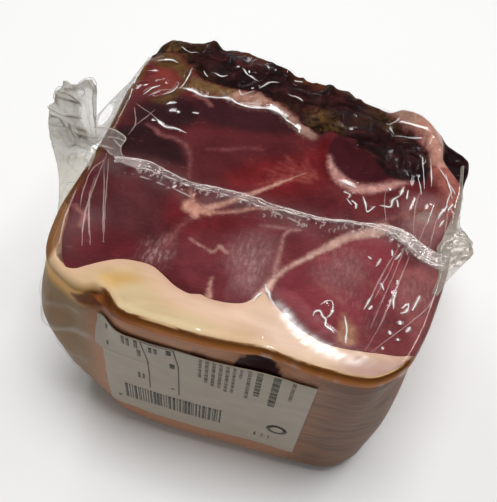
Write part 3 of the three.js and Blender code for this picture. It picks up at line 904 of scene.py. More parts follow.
def toneOver(place, base, areas):
    tone = np.tile(linear(base), (len(place), 1))
    for shade, soft, outline in areas:
        reach = insideBy(place, smoothLine(outline, 1.0, closed=True), 3 * soft + 1)
        tone = mixed(tone, ramp(reach, -soft, soft), linear(shade))
    return tone


# The strongest seam or patch at each place: above 0 inside it, in units of its own softness
def seamFields(place, look):
    value = np.full(len(place), -3.0)
    tone = np.tile(linear((170, 120, 110)), (len(place), 1))

    def offer(found, shade):
        nonlocal value, tone
        better = found > value
        value = np.where(better, found, value)
        tone[better] = linear(shade)

    for shade, soft, outline in look["patches"]:
        offer(insideBy(place, smoothLine(outline, 0.6, closed=True), 4.0) / soft, shade)
    strands, fan = list(look["seams"]), look["fan"]
    ends = alongLine(np.array(fan["spread"], float), np.linspace(0, 1, fan["count"]))
    random = np.random.default_rng(7)
    for end in ends:
        start = np.array(fan["node"]) + random.uniform(-2.2, 2.2, 2)
        reach = random.uniform(0.45, 1.0)
        middle = start + (end - start) * reach * 0.5 + random.uniform(-0.8, 0.8, 2)
        finish = start + (end - start) * reach
        width = random.uniform(0.15, 0.45)
        strands.append((fan["tone"], fan["soft"], [(*start, width + 0.2), (*middle, width), (*finish, 0.1)]))
    for shade, soft, points in strands:
        line = smoothLine(points, 0.5)
        near, _, share = nearLine(place, line, 4.0)
        reach = lengthsOf(line[:, :2])
        width = np.interp(share, reach / reach[-1], line[:, 2])
        offer((width - near) / soft, shade)
    return value, tone


def hazeField(place, spots):
    total = np.zeros(len(place))
    for x, y, reach, strength in spots:
        away = np.hypot(place[:, 0] - x, place[:, 1] - y)
        total = np.maximum(total, strength * bell(away, 0, reach))
    return total


wallLook = {
    "light": 0.34,                  # how much less light a wall gets than the upper side
    "rind": (108, 76, 57),
    "rindLeft": (84, 66, 46),
    "rindRight": (76, 53, 37),
    "band": (118, 76, 46),          # amber band of rind under the fat
    "bandEdge": (138, 98, 68),
    "bandLow": [
        (-60, 84.4), (-38, 84.2), (-20, 83.4), (-6, 82.8), (8, 82.2), (24, 81.6), (40, 82.4), (60, 82)],
    "cleft": (66, 36, 14),
    "cleftOutline": [
        (-50.5, 80.5), (-46, 84), (-42.5, 89), (-36, 89), (-31, 86.4), (-31, 83.6), (-38.5, 80.5), (-41, 77),
        (-46, 77)],
    # painted shade: the near-black hollow just above the label
    "shadedHollow": (22, 6, 5),
    "wedge": (84, 54, 40),
    "shadedHollowOutline": [(4.5, 74), (4.8, 78), (7.5, 81), (12, 82.2), (15.5, 81), (18, 78), (19.4, 74)],
    "wedgeOutline": [(-9.4, 74), (-8.6, 78.4), (-7.4, 78.8), (-5, 77), (-4.4, 74)],
    "oliveFat": (132, 102, 56),
    "left": (84, 56, 40),
    "back": (62, 38, 24),
    "right": (92, 54, 44),
    "bead": (114, 68, 28),
    "beadLow": (104, 62, 32),
    "beadHook": (84, 44, 12),
    "beadLine": (76, 42, 16),
    # a painted highlight: the thin golden line along the rim's crest
    "beadHighlight": (236, 200, 146),
    "crustTone": (44, 20, 21),
    "rimAmber": (96, 50, 18),
    "knob": (24, 5, 8),
    "leftRim": (98, 66, 34),
}


def lit(tone):
    return np.minimum(linear(tone) / wallLook["light"], 0.85)


# Tones of the walls by place: rind in front, dried lean at the sides, crust behind, and painted shade in the
# hollow above the label
def wallTone(place):
    look = wallLook
    x, y, z = place.T
    upright = np.column_stack([x, z])

    tone = np.tile(lit(look["left"]), (len(place), 1))
    tone = mixed(tone, ramp(x, 20, 50), lit(look["right"]))
    tone = mixed(tone, ramp(y, 34, 54), lit(look["back"]))
    low = np.interp(x, *np.array(look["bandLow"]).T) + 0.5 * lumps(x, 0, 0, 9, 111)
    steps = [
        (ramp(-x, 40, 50), "rindLeft"), (ramp(x, 24, 40), "rindRight"),
        (ramp(z, low - 0.5, low + 0.5) * ramp(x, -42, -38), "band"),
        (0.75 * bell(z, low + 0.4, 0.6) * ramp(x, -42, -38), "bandEdge"),
        (ramp(z, 74.5, 81) * ramp(-x, 41, 45), "oliveFat")]
    # the hollow above the label gets painted shade, near black
    for name, soft in (("cleft", 0.9), ("shadedHollow", 0.35), ("wedge", 0.35)):
        outline = smoothLine(look[name + "Outline"], 0.5, closed=True)
        steps.append((ramp(insideBy(upright, outline, 4.0), -soft, soft), name))
    rind = np.tile(lit(look["rind"]), (len(place), 1))
    for share, name in steps:
        rind = mixed(rind, share, lit(look[name]))
    return mixed(tone, ramp(-y, 36, 50), rind)


print("lean")


def leanMaterial():
    material, tree = newMaterial("curedLean")
    tone = field(tree, "tone", "Color")
    wide = grain(tree, scale=95.0, twist=0.6)
    tone = tinted(tree, tone, wide, (0.80, 0.74, 0.76), (1.16, 1.14, 1.14))
    fibre = grain(tree, stretch=(0.9, 3.0, 1.0), scale=520.0, low=0.35, high=0.7)
    tone = tinted(tree, tone, fibre, (0.93, 0.90, 0.90), (1.08, 1.08, 1.08))
    thin = grain(tree, stretch=(1.0, 2.4, 1.0), scale=260.0, detail=5.0, low=0.63, high=0.74)
    tone = blended(tree, times(tree, thin, 0.08), tone, rgba((176, 122, 116)))
    # pale haze: fine flecks of fat, and a painted reflection of the film
    spikes = grain(tree, stretch=(2.6, 1.0, 1.0), scale=420.0, detail=5.0, low=0.42, high=0.72)
    haze = times(tree, field(tree, "haze"), maths(tree, "MULTIPLY_ADD", spikes, 0.8, 0.2), True)
    tone = blended(tree, haze, tone, rgba((186, 150, 148)))
    soft = ragged(tree, field(tree, "seam"), scale=600.0, raggedness=2.6, low=-1.8, high=1.0)
    core = ragged(tree, field(tree, "seam"), scale=850.0, raggedness=3.4, low=-0.5, high=1.7)
    mottle = grain(tree, stretch=(1.6, 1.0, 1.0), scale=210.0, detail=5.0, low=0.3, high=0.72, twist=0.4)
    shade = tinted(tree, field(tree, "seamTone", "Color"), mottle, (0.72, 0.64, 0.64), (1.12, 1.14, 1.14))
    tone = blended(tree, times(tree, soft, 0.5), tone, shade)
    tone = blended(tree, core, tone, shade)
    crust = ragged(tree, field(tree, "crust"), scale=420.0, raggedness=1.3, low=0.1, high=0.9)
    burnt = blended(tree, grain(tree, scale=150.0, low=0.36, high=0.66, twist=0.8),
                    rgba((24, 9, 10)), field(tree, "crustTone", "Color"))
    flecks = grain(tree, scale=300.0, low=0.35, high=0.6, twist=1.5)
    flecked = blended(tree, times(tree, field(tree, "olive"), flecks), burnt, rgba((92, 66, 34)))
    reddish = grain(tree, scale=150.0, low=0.56, high=0.72, twist=1.0)
    flecked = blended(tree, times(tree, reddish, 0.5), flecked, rgba((86, 34, 36)))
    tone = blended(tree, crust, tone, flecked)
    wallShade = field(tree, "wallTone", "Color")
    bark = grain(tree, stretch=(0.6, 0.6, 2.0), scale=190.0, detail=5.0)
    dried = blended(tree, bark, wallShade, blended(tree, 0.45, wallShade, (0.02, 0.01, 0.008, 1)))
    tone = blended(tree, field(tree, "wall"), tone, dried)
    rough = blended(tree, crust, (0.36, 0.36, 0.36, 1), (0.5, 0.5, 0.5, 1))
    lift = bumped(tree, 0.15, 0.0004)
    setSurface(tree, {"Base Color": tone, "Roughness": rough, "Normal": lift, "Specular IOR Level": 0.04})
    return material


def makeLean():
    look = leanLook
    bm, place, inset, row = blockMesh("lean", look)
    x, y, z = place.T
    top = row == 0
    value, seamTone = np.full(len(place), -3.0), np.tile(linear((150, 110, 100)), (len(place), 1))
    tone = np.tile(linear(look["base"]), (len(place), 1))
    upper = row <= len(rows["near"])
    value[upper], seamTone[upper] = seamFields(place[upper], look)
    tone[upper] = toneOver(place[upper], look["base"], look["muscles"])
    knob = crustShare(x, y)[1]
    area = smoothLine(look["crustArea"], 1.0, closed=True)
    covered = np.ones(len(place))
    covered[upper] = np.clip(0.5 + insideBy(place[upper], area, 4.0) / 3.0, -0.2, 1.2)
    crust = np.maximum(covered, knob) + 0.35 * lumps(x, y, 0, 5, 51) * (covered > -0.1)
    olive = np.clip(hazeField(place, look["oliveSpots"]) * (0.75 + 0.6 * lumps(x, y, z, 3, 52)), 0, 1)
    backRim = ramp(y, 45, 56) * ramp(7.0 - inset, 0, 6) * (0.75 + 0.5 * lumps(x, y, 0, 9, 53))
    crustTone = mixed(linear(wallLook["crustTone"]), backRim, linear(wallLook["rimAmber"]))
    crustTone = mixed(crustTone, knob, linear(wallLook["knob"]))
    amber = ramp(4.4 - inset, 0, 3) * ramp(-x, 48, 55) * ramp(66 - y, 0, 12) * top
    tone = mixed(tone, amber * (0.85 + 0.4 * lumps(x, y, 0, 6, 54)), linear(wallLook["leftRim"]))
    wall = np.where(top, ramp(1.2 - inset, 0, 1.2) * ramp(-x, 30, 50) * 0.8, ramp(row, 1, 4)) * ramp(z, -1, 1)
    wall = np.where(row > 4, 1.0, wall)
    place[top, 2] += -0.12 * ramp(value[top], -1, 1) * (1 - np.clip(crust[top], 0, 1))
    fields = {"seam": value, "crust": np.clip(crust, 0, 1), "haze": hazeField(place, look["haze"]),
              "wall": wall, "olive": olive}
    tones = {"tone": tone, "seamTone": seamTone, "crustTone": crustTone, "wallTone": wallTone(place)}
    finishPiece("hamLean", bm, place, leanMaterial(), "lean", fields, tones)


makeLean()

print("fat and rind")


def fatMaterial():
    material, tree = newMaterial("fatAndRind")
    tone = field(tree, "tone", "Color")
    wide = grain(tree, stretch=(0.35, 1.0, 1.0), scale=150.0, twist=0.4)
    tone = tinted(tree, tone, wide, (0.93, 0.90, 0.86), (1.05, 1.05, 1.05))
    line = grain(tree, stretch=(0.2, 2.2, 1.0), scale=330.0, low=0.58, high=0.7)
    tone = blended(tree, times(tree, line, 0.18), tone, rgba((196, 150, 118)))
    bark = grain(tree, stretch=(0.16, 0.16, 1.4), scale=330.0, detail=5.0, low=0.35, high=0.68, twist=0.5)
    spots = grain(tree, stretch=(0.4, 0.4, 1.0), scale=120.0, low=0.45, high=0.68)
    smudge = grain(tree, stretch=(0.35, 0.35, 1.5), scale=120.0, detail=5.0, low=0.48, high=0.66, twist=0.8)
    streak, wall = field(tree, "streak"), field(tree, "wall")
    rind = field(tree, "wallTone", "Color")
    rind = towards(tree, rind, times(tree, streak, maths(tree, "SUBTRACT", 1.0, bark)), (0.68, 0.63, 0.59))
    rind = towards(tree, rind, times(tree, smudge, times(tree, streak, 0.7)), (0.62, 0.57, 0.53))
    rind = towards(tree, rind, times(tree, spots, 0.4), (1.12, 0.92, 0.82))
    tone = blended(tree, wall, tone, rind)
    bead = ragged(tree, field(tree, "bead"), scale=500.0, raggedness=0.5, low=0.1, high=0.9)
    tone = blended(tree, bead, tone, field(tree, "beadTone", "Color"))
    lift = bumped(tree, 0.3, 0.0004, height=times(tree, bark, times(tree, wall, streak)))
    rough = maths(tree, "MULTIPLY_ADD", bark, 0.15, 0.35)
    setSurface(tree, {"Base Color": tone, "Roughness": rough, "Normal": lift, "Specular IOR Level": 0.05})
    return material


def makeFat():
    look = fatLook
    bm, place, inset, row = blockMesh("fat", look)
    x, y, z = place.T
    top = row == 0
    tone = toneOver(place, look["base"], look["areas"])
    toLean = nearLine(place, innerLine, 6.0)[0]
    tone = mixed(tone, ramp(3.0 - toLean, 0, 3.0) * 0.4 * ramp(x, -62, -50), linear(look["pink"]))
    fromRim = np.where(top, inset, -np.interp(row, range(len(rows["near"]) + 1), [0.0] + rows["near"]))
    front = ramp(-y, 40, 52) * ramp(x, -43, -38)
    bead = ramp(1.7 - fromRim, 0, 0.4) * ramp(fromRim, -2.2, -1.0) * front
    beadTone = np.tile(linear(wallLook["bead"]), (len(place), 1))
    broken = ramp(lumps(x, y, 0, 6, 112) + 0.5 * lumps(x, y, 0, 2, 113), -0.5, 0.3)
    # a painted highlight in gold along the crest, broken in places, and a dark line nearer the rim
    for at, width, key, much in ((1.35, 0.2, "beadHighlight", 0.8 * broken), (0.8, 0.4, "beadLine", 0.9)):
        beadTone = mixed(beadTone, bell(fromRim, at, width) * much, linear(wallLook[key]))
    beadTone = mixed(beadTone, ramp(0.4 - fromRim, 0, 1.4), linear(wallLook["beadLow"]))
    beadTone = mixed(beadTone, 0.8 * ramp(-x, 20, 34), linear(wallLook["beadHook"]))
    # towards the wall the rim gets less light, which the tones make up for
    turned = 1 - np.clip(np.maximum(fromRim, 0) / block["rimRadius"], 0, 1)
    light = wallLook["light"] + (1 - wallLook["light"]) * np.sqrt(1 - turned ** 2)
    atHook = np.exp(-((x + 37) ** 2 + (y + 56) ** 2) / 14) * ramp(z, 78, 82)       # there the slope faces up
    light = np.maximum(light, atHook)[:, None]
    beadTone = np.minimum(beadTone / light, 0.85)
    wall = np.where(top, ramp(0.8 - inset, 0, 1.0), 1.0)
    place[top, 2] += ((0.09 * bell(inset, 1.1, 0.6) - 0.05 * bell(inset, 2.2, 0.5)) * front)[top]
    streak = 0.25 + 0.75 * ramp(x, 10, 34) * ramp(-y, 40, 52)
    fields = {"wall": wall, "bead": bead, "streak": streak}
    tones = {"tone": tone, "wallTone": wallTone(place) * wallLook["light"] / light, "beadTone": beadTone}
    finishPiece("hamFat", bm, place, fatMaterial(), "fat_cap", fields, tones)


makeFat()

print("film")

skinLook = {
    "across": 190,
    "along": 180,
    "grow": 0.35,
    "tone": (176, 166, 150),
    "rippleLow": -0.24,             # how far the film may sink into the ham
    # where the fat shines through the film
    "glare": [
        (9, -37.5), (11.3, -40.5), (15, -44.4), (18.4, -48.2), (22, -50.8), (27, -52.2), (33.2, -53.2),
        (40, -53), (47, -52)],
    # small slopes of the film that face the light: course, width, tail behind it, and how broken it is
    "facets": [
        ([
            (-43, 36), (-38.5, 35.4), (-33.8, 35.4), (-28.6, 37.2), (-22.6, 35.2), (-17.6, 34.8),
            (-11.9, 36.2), (-7.4, 36.6), (-3, 33.6), (-0.6, 29)], 1.5, 3, 0.5),
        ([(-48.8, 16), (-44, 16.4), (-40, 15.2), (-36, 14.6)], 1.1, 1.5, 0.2),
        ([(-56.5, 32), (-53.5, 33.6), (-49, 33)], 0.8, 1.2, 0.3),
        ([(-57, 51), (-53, 53.2), (-49, 53)], 1, 2, 0.3),
        ([(18.4, 15.5), (21, 13), (24.4, 11.8), (28, 11.4)], 1.2, 1.6, 0.5),
        ([(29, 10.6), (33, 11.6), (37, 14)], 1, 1.6, 0.6),
        ([(22.6, 8.6), (26, 7.6), (29.5, 8)], 1, 1.4, 0.5),
        ([(23.6, 3.4), (26.6, 2.6), (29, 3)], 0.9, 1.4, 0.5),
        ([(31.6, 6.4), (34, 5.6), (36.5, 6.6)], 0.9, 1.4, 0.5),
        ([(38.6, 13.6), (41, 13), (43.4, 14)], 1, 1.4, 0.5),
        ([(50.4, 12), (54.5, 11), (58.5, 10.4), (61.5, 11)], 1.4, 1.8, 0.4),
        ([(-30, 6.4), (-27.6, 6), (-25, 5.4)], 1, 1.2, 0.2),
        ([(25, -37), (27.4, -38.2), (29.4, -40.5)], 1.2, 1.6, 0.4),
        ([(26, -43), (28.6, -45.2), (32, -46.4)], 1.2, 1.6, 0.4),
        ([(42, -22), (44, -23.6), (46, -24)], 1, 1.4, 0.4),
        ([(43, -28), (45.6, -29.4), (48, -29)], 1, 1.4, 0.4),
        ([(48.6, -31), (50.6, -32.6), (53, -32)], 1, 1.4, 0.4),
        ([(51, -26), (53.4, -27.4), (55.6, -26.6)], 1, 1.4, 0.4),
        ([(38, -50), (40.4, -51.4), (43, -51)], 0.9, 1.4, 0.4)],
    # slanting folds at the front left corner: place along cornerSlant, width and height
    "cornerFolds": [(53, 2.2, 1.1), (48, 2.5, -0.8), (66, 1.6, 0.8), (35, 2, 0.6)],
    "cornerHaze": [(66, 1.2, 0.7), (35, 1.6, 0.5), (53.5, 1.6, 1)],
    # where glints crowd on the crust: centre, and reach along x and y
    "busy": [(-14, 53, 16, 9), (30, 33, 16, 12)],
    # wrinkled stretches: centre, reach along x and y, direction in degrees, sizes, height and seed
    "wrinkles": [
        (46, -28, 9, 14, 78, 9, 2.6, 0.3, 61), (28, -41, 6, 6, 60, 4, 2.6, 0.35, 62),
        (50, 12, 9, 9, 80, 5, 2.4, 0.32, 63), (31, 5, 9, 6, 70, 5, 2.2, 0.3, 64),
        (21, 14, 5, 5, 40, 5, 2.4, 0.28, 65), (-49, 31, 7, 5, 25, 8, 1.8, 0.26, 66),
        (-42, 24, 8, 7, 20, 5, 2.4, 0.28, 67), (-30, 6, 3, 3, 30, 4, 2, 0.25, 68)],
}


def ribbed(x, y, angle, longSize, shortSize, seed):
    turn = math.radians(angle)
    along = (x * math.cos(turn) + y * math.sin(turn)) / longSize
    across = (y * math.cos(turn) - x * math.sin(turn)) / shortSize
    return lumps(along, across, 0, 1.0, seed)


# How far the film lies over crust
def overCrust(x, y):
    behind, knob, inside = crustShare(x, y)
    return np.maximum(inside * ramp(behind, -4, 3), knob)


# Distance along z to the slanting folds of film at the front left corner
def cornerSlant(x, y, z):
    return z - 0.55 * (x + 60) + 2 * lumps(x, y, z, 14, 79)


# How far the film stands off the ham over the upper side or, with z given, off its walls
def skinRipple(x, y, z=None):
    if z is not None:
        fine = np.maximum(lumps(x, y, z * 2.2, 9, 71), 0) * 0.5 + 0.35 * np.maximum(lumps(x, y, z, 4, 72), 0)
        label = ramp(x, -44, -40) * ramp(34 - x, 0, 4) * ramp(-y, 52, 57)
        label = label * ramp(z, 12, 16) * ramp(80 - z, 0, 3)
        corner = ramp(-x, 40, 52) * ramp(-y, 20, 45)
        slant = cornerSlant(x, y, z)
        folds = sum(height * bell(slant, at, width) for at, width, height in skinLook["cornerFolds"])
        folds = folds + 0.7 * np.maximum(lumps(x, y, z * 1.4, 7, 80), 0)
        return fine * (1 - 0.9 * label) + 0.45 * corner * folds
    rough = 0.45 * lumps(x, y, 0, 4.4, 73) + 0.30 * lumps(x, y, 0, 2.3, 77)
    rough = rough + 0.4 * np.maximum(lumps(x, y, 0, 7, 74), 0)
    total = overCrust(x, y) * rough
    for atX, atY, reachX, reachY, angle, longSize, shortSize, height, seed in skinLook["wrinkles"]:
        mask = np.exp(-((x - atX) / reachX) ** 2 - ((y - atY) / reachY) ** 2)
        total = total + mask * height * ribbed(x, y, angle, longSize, shortSize, seed)
    flat = np.column_stack([x, y])
    for points, width, tail, broken in skinLook["facets"]:
        near, side, share = nearLine(flat, smoothLine(points, 0.7), width + tail + 0.5)
        across = side * near
        rise = np.tan(np.radians(17.5 + 0.13 * y)) * np.clip(across + width / 2, 0, width)
        rise = rise * (1 - ramp(across, width / 2, width / 2 + tail)) * ramp(np.sin(math.pi * share), 0, 0.5)
        rise = np.where(near < width + tail, rise, 0)
        total = total + rise * (1 - broken * ramp(lumps(x, y, 0, 2.4, 78), -0.2, 0.3))
    seal = np.interp(x, sealLine[:, 0], sealLine[:, 1])
    total = total + bell(y, seal - 2.0, 4.0) * (0.22 * lumps(x, y, 0, 1.8, 75)) * ramp(x, -50, -40)
    return np.maximum(total + 0.10 * lumps(x, y, 0, 14, 76), skinLook["rippleLow"])


# The end seal: its line at the back, how far in front of it the second line runs, and broken traces beside it
sealLook = {
    "course": [
        (-54.5, -4), (-50.5, -3.2), (-43.4, -2.2), (-35.6, -4.1), (-25.5, -6.1), (-17, -5.5), (-8.4, -5.2),
        (2.3, -6.4), (10.9, -6.6), (19.3, -6.4), (25.9, -5), (34, -3.6), (39, -2.8), (44, -2.8), (48.2, -4),
        (52.6, -6.6), (57, -8.4), (61, -8.8)],
    "apart": [
        (-53, 2), (-46, 4), (-41.7, 2.8), (-36, 2.1), (-30.5, 1.9), (-23, 1.8), (-18, 2), (-9.5, 2.2),
        (-3, 2.4), (2.6, 1.5), (12, 1.1), (26, 0.9), (34, 1.2), (40, 2.2), (46, 3.4), (52, 4.4), (58, 4.4)],
    "traces": [
        [(-48.9, -9.4), (-43.8, -9), (-40.2, -9.2), (-34.7, -10), (-29.2, -10.8), (-25.5, -11.7)],
        [(-0.4, -9.8), (2.8, -9.3), (6.5, -9.7), (10.8, -10.6)],
        [(50.2, -9.4), (51.4, -11.6), (54, -12.2), (55, -10), (53, -8.6)],
        [(54.6, -11), (55.6, -13.4), (58, -13), (58, -10.6)]],
    "behind": 1.2,
    "ahead": 7.6,
    "lift": 0.12,
    "thick": 0.08,
    "tone": (216, 200, 194),
    "teeth": 70,
    "lengths": 520,
    "strips": 36,
}
sealLine = smoothLine(sealLook["course"], 0.5)
sealApart = np.array(sealLook["apart"], float)


# Finishes of the film: how much it mirrors, its roughness and grain, and how it clears where it turns away
filmFinish = {
    "clinging": {"gloss": 1.6, "rough": 0.10, "grit": 0.008},
    "welded": {"gloss": 2.0, "rough": 0.14, "grit": 0.05},
    "crumpled": {"gloss": 2.0, "rough": 0.16, "grit": 0.1},
    "gathered": {"gloss": 2.0, "rough": 0.2, "grit": 0.02},
    "rolled": {"gloss": 2.0, "rough": 0.12, "grit": 0.02, "fading": 1.2},
}


# Clear film: it mirrors a little, and turns cloudy where haze is painted. Painted shade and tint darken its
# tone, and blur is painted too.
def filmMaterial(name, hazeTone, gloss, rough, grit, fading=0.0):
    material, tree = newMaterial(name)
    speck = grain(tree, scale=380.0, low=0.25, high=0.8, twist=0.5)
    cloud = maths(tree, "MULTIPLY_ADD", speck, 0.25, 0.875)
    cover = times(tree, field(tree, "haze"), cloud, clamp=True)
    if fading:
        turned = put(tree, "ShaderNodeLayerWeight", {"Blend": 0.5}).outputs["Facing"]
        facing = maths(tree, "SUBTRACT", 1.0, turned)
        cover = times(tree, cover, maths(tree, "POWER", facing, fading))
    lift = bumped(tree, grit, 0.0005, scale=420.0)
    edge = put(tree, "ShaderNodeFresnel", {"IOR": 1.5, "Normal": lift}).outputs[0]
    bounce = maths(tree, "MINIMUM", times(tree, edge, gloss), 0.13)
    bounce = times(tree, bounce, field(tree, "sheen"))
    alpha = maths(tree, "ADD", cover, bounce, clamp=True)
    mirror = maths(tree, "DIVIDE", bounce, maths(tree, "MAXIMUM", alpha, 0.001), clamp=True)
    tone = blended(tree, speck, rgba(hazeTone), (*np.minimum(1.2 * linear(hazeTone), 1), 1))
    # painted shade and tint darken the film's tone
    tone = towards(tree, tone, field(tree, "dark"), (0.34, 0.31, 0.26))
    setSurface(tree, {
        "Base Color": blended(tree, mirror, tone, (1, 1, 1, 1)), "Metallic": mirror, "Alpha": alpha,
        "Roughness": maths(tree, "MULTIPLY_ADD", field(tree, "blur"), 0.3, rough), "Normal": lift,
        "Specular IOR Level": 0.4})
    return material


def finishFilm(name, bm, places, fields, materialName, tone, finish):
    material = filmMaterial(materialName, tone, **filmFinish[finish])
    finishPiece(name, bm, places, material, "film_bag", fields)


def makeSkin():
    look = skinLook
    bm, place, inset, row = blockMesh("whole", look, look["grow"], True, skinRipple)
    x, y, z = place.T
    top = row == 0
    haze = ramp(row, 4, 14) * 0.05 * np.maximum(lumps(x * 0.5, y * 0.5, z * 2.5, 12, 81), 0)
    corner = ramp(-x, 38, 52) * ramp(-y, 10, 40) * ramp(row, 4, 10)
    slant = cornerSlant(x, y, z)
    folds = np.max([cloudy * bell(slant, at, width) for at, width, cloudy in look["cornerHaze"]], axis=0)
    haze += corner * (0.02 + 0.16 * np.maximum(lumps(x, y, z * 1.6, 12, 82), 0) + 0.32 * folds)
    sheen = (1.0 - 0.72 * ramp(row, 0, 5)) * (1 - 0.6 * corner)
    crest = (row <= 4) * ramp(-y, 46, 52) * ramp(4.6 - inset, 0, 1.2)
    glints = ramp(lumps(x * 0.8, y, 0, 3.5, 85) + 0.5 * lumps(x, y, 0, 1.2, 86), 0.2, 0.6) * ramp(x, -16, 0)
    sheen = sheen * (1 - crest * (1 - 1.1 * glints))
    leftEdge = (row <= 8) * ramp(-x, 36, 42) * ramp(-y, -20, 0) * ramp(9.0 - inset, 0, 5)
    sheen = sheen * (1 - 0.93 * leftEdge)
    cluster = ramp(lumps(x, y, 0, 8, 87) + 0.5 * lumps(x, y, 0, 3, 88), 0.15, 0.6)
    busy = np.max([bell(x, atX, wide) * bell(y, atY, deep) for atX, atY, wide, deep in look["busy"]], axis=0)
    sheen = sheen * (1 - overCrust(x, y) * (1 - (0.10 + 1.3 * cluster * busy)))
    sheen = sheen * (1 - 0.8 * ramp(x, 51, 57) * ramp(y, 22, 32))
    flat = np.column_stack([x, y])
    near = nearLine(flat, slopeLine, 12.0)[0]
    slope = top * ramp(9.0 - near, 0, 3)
    near, _, along = nearLine(flat, smoothLine(look["glare"], 1.0), 8.0)
    streaks = lumps((x + y) * 0.25, (x - y) * 1.2, 0, 1.6, 89)
    core = top * bell(near, 0, 1.6) * ramp(np.sin(math.pi * along), 0, 0.7) * (0.8 + 0.8 * streaks)
    sheen = sheen * (1 - 0.75 * slope) + 2.6 * core
    # over the hollow's painted shade the film mirrors almost nothing
    shadedHollow = (row > 3) * bell(x, 13.5, 9) * ramp(-y, 40, 50) * ramp(z, 70, 74)
    sheen = sheen * (1 - 0.95 * shadedHollow) * (1 - 0.5 * ramp(-x, 42, 48) * ramp(y, 42, 48))
    seal = np.interp(x, sealLine[:, 0], sealLine[:, 1])
    haze += top * 0.06 * bell(y, seal - 3, 4.5) * (0.6 + 0.6 * lumps(x, y, 0, 4, 83))
    fields = {"haze": np.clip(haze, 0, 1), "sheen": np.clip(sheen, 0, 5), "blur": slope * 0.8}
    finishFilm("filmSkin", bm, place, fields, "clearFilm", look["tone"], "clinging")


makeSkin()


# Places of the skin over places of the upper side
def skinPlaces(flat):
    x, y = flat[:, 0], flat[:, 1]
    inset = np.maximum(insideBy(flat, rimLine, 7.0), 0)
    z = topHeight(x, y, True) + skinLook["grow"] - rimDrop(inset, y) + skinRipple(x, y) * ramp(inset, 0, 3)
    return np.column_stack([x, y, z])


print("seal")


# Directions to the left of a line at shares of it
def leftOf(line, share):
    along = alongLine(np.gradient(line, axis=0), share)
    along /= np.linalg.norm(along, axis=1)[:, None]
    return np.column_stack([-along[:, 1], along[:, 0]])


# A flat grid with x and y from 0 to 1
def sheetMesh(across, along):
    bm = bmesh.new()
    bmesh.ops.create_grid(bm, x_segments=across, y_segments=along, size=0.5)
    bmesh.ops.translate(bm, verts=bm.verts, vec=(0.5, 0.5, 0))
    return bm


# Gives a flat grid a second side and moves it to its places, the second side at an offset from the first;
# fields given at the grid's points come back for both sides
def thicken(bm, places, offset, **fields):
    number = bm.verts.layers.int.new("number")
    for index, vert in enumerate(bm.verts):
        vert[number] = index
    bmesh.ops.solidify(bm, geom=bm.faces, thickness=0.1)
    order = np.array([vert[number] for vert in bm.verts])
    bm.verts.layers.int.remove(number)
    both = np.vstack([places[order[:len(places)]], (places + offset)[order[len(places):]]])
    for vert, place in zip(bm.verts, both):
        vert.co = place
    bmesh.ops.recalc_face_normals(bm, faces=bm.faces)
    return both, {name: values[order] for name, values in fields.items()}


# How high the seal stands, how cloudy it is and how much it shines at places of the upper side
def sealRelief(flat):
    look = sealLook
    near, side, at = nearLine(flat, sealLine, 14.0)
    x, y, across = flat[:, 0], flat[:, 1], side * near
    s = at * 115
    apart = np.interp(x, *sealApart.T)
    back = 0.22 * lumps(s, 0, 0, 5, 91) + 0.10 * lumps(s, 0, 0, 1.6, 92)
    front = -apart + 0.30 * lumps(s, 0, 0, 4, 93) + 0.12 * lumps(s, 0, 0, 1.3, 94)
    middle = (back + front) / 2 + 0.4 * lumps(s, 0, 0, 2.5, 95)
    between = ramp(across, front - 0.1, front + 0.3) * ramp(back + 0.1 - across, 0, 0.4)
    ends = ramp(x, 36, 44)
    twist = ramp(-x, 42, 46)
    haze = 0.06 * between + 0.16 * between * twist
    haze += bell(across, back, 0.22) * (0.58 + 0.35 * lumps(s, 0, 0, 3, 96))
    haze += bell(across, front, 0.24) * (0.42 + 0.45 * lumps(s, 0, 0, 2.2, 97))
    haze += 0.4 * bell(across, middle, 0.15) * ramp(lumps(s, 0, 0, 3, 98), 0, 0.3)
    lumpy = ends * ramp(across, front - 2.0, front) * ramp(back + 0.3 - across, 0, 0.5)
    crease = ramp(0.14 - np.abs(lumps(x, y, 0, 2.0, 99)), 0, 0.12)
    haze += lumpy * (0.16 + 0.12 * lumps(x, y, 0, 1.4, 100) + 0.45 * crease)
    broken = ramp(lumps(x, y, 0, 1.6, 103), -0.3, 0.4)
    for trace in look["traces"]:
        haze = np.maximum(haze, 0.3 * bell(nearLine(flat, smoothLine(trace, 0.4), 1.2)[0], 0, 0.24) * broken)
    random = np.random.default_rng(31)
    for _ in range(look["teeth"]):
        at = random.uniform(-46, 50)
        line = np.interp(at, sealLine[:, 0], sealLine[:, 1]) - np.interp(at, *sealApart.T) - 0.3
        line -= random.choice([0.0, 0.0, 1.4, 2.6]) * ramp(at, -10, 0)
        length, bend = random.uniform(0.5, 1.7), random.uniform(-0.9, 0.9)
        strength = random.uniform(0.10, 0.34)
        middle, tip = (at + bend, line - 0.5 * length), (at + 0.3 * bend, line - length)
        tooth = smoothLine([(at, line), middle, tip], 0.3)
        haze = np.maximum(haze, strength * bell(nearLine(flat, tooth, 0.9)[0], 0, 0.18))
    lift = 0.4 * bell(across, back, 0.35) + 0.35 * bell(across, front, 0.35)
    lift += between * (0.10 + 0.08 * lumps(x, y, 0, 1.4, 104))
    lift += 0.6 * lumpy * np.maximum(lumps(x, y, 0, 2.4, 105), 0)
    shine = 0.08 + 0.22 * between + 0.3 * lumpy
    return np.maximum(lift, 0), np.clip(haze, 0, 1), shine


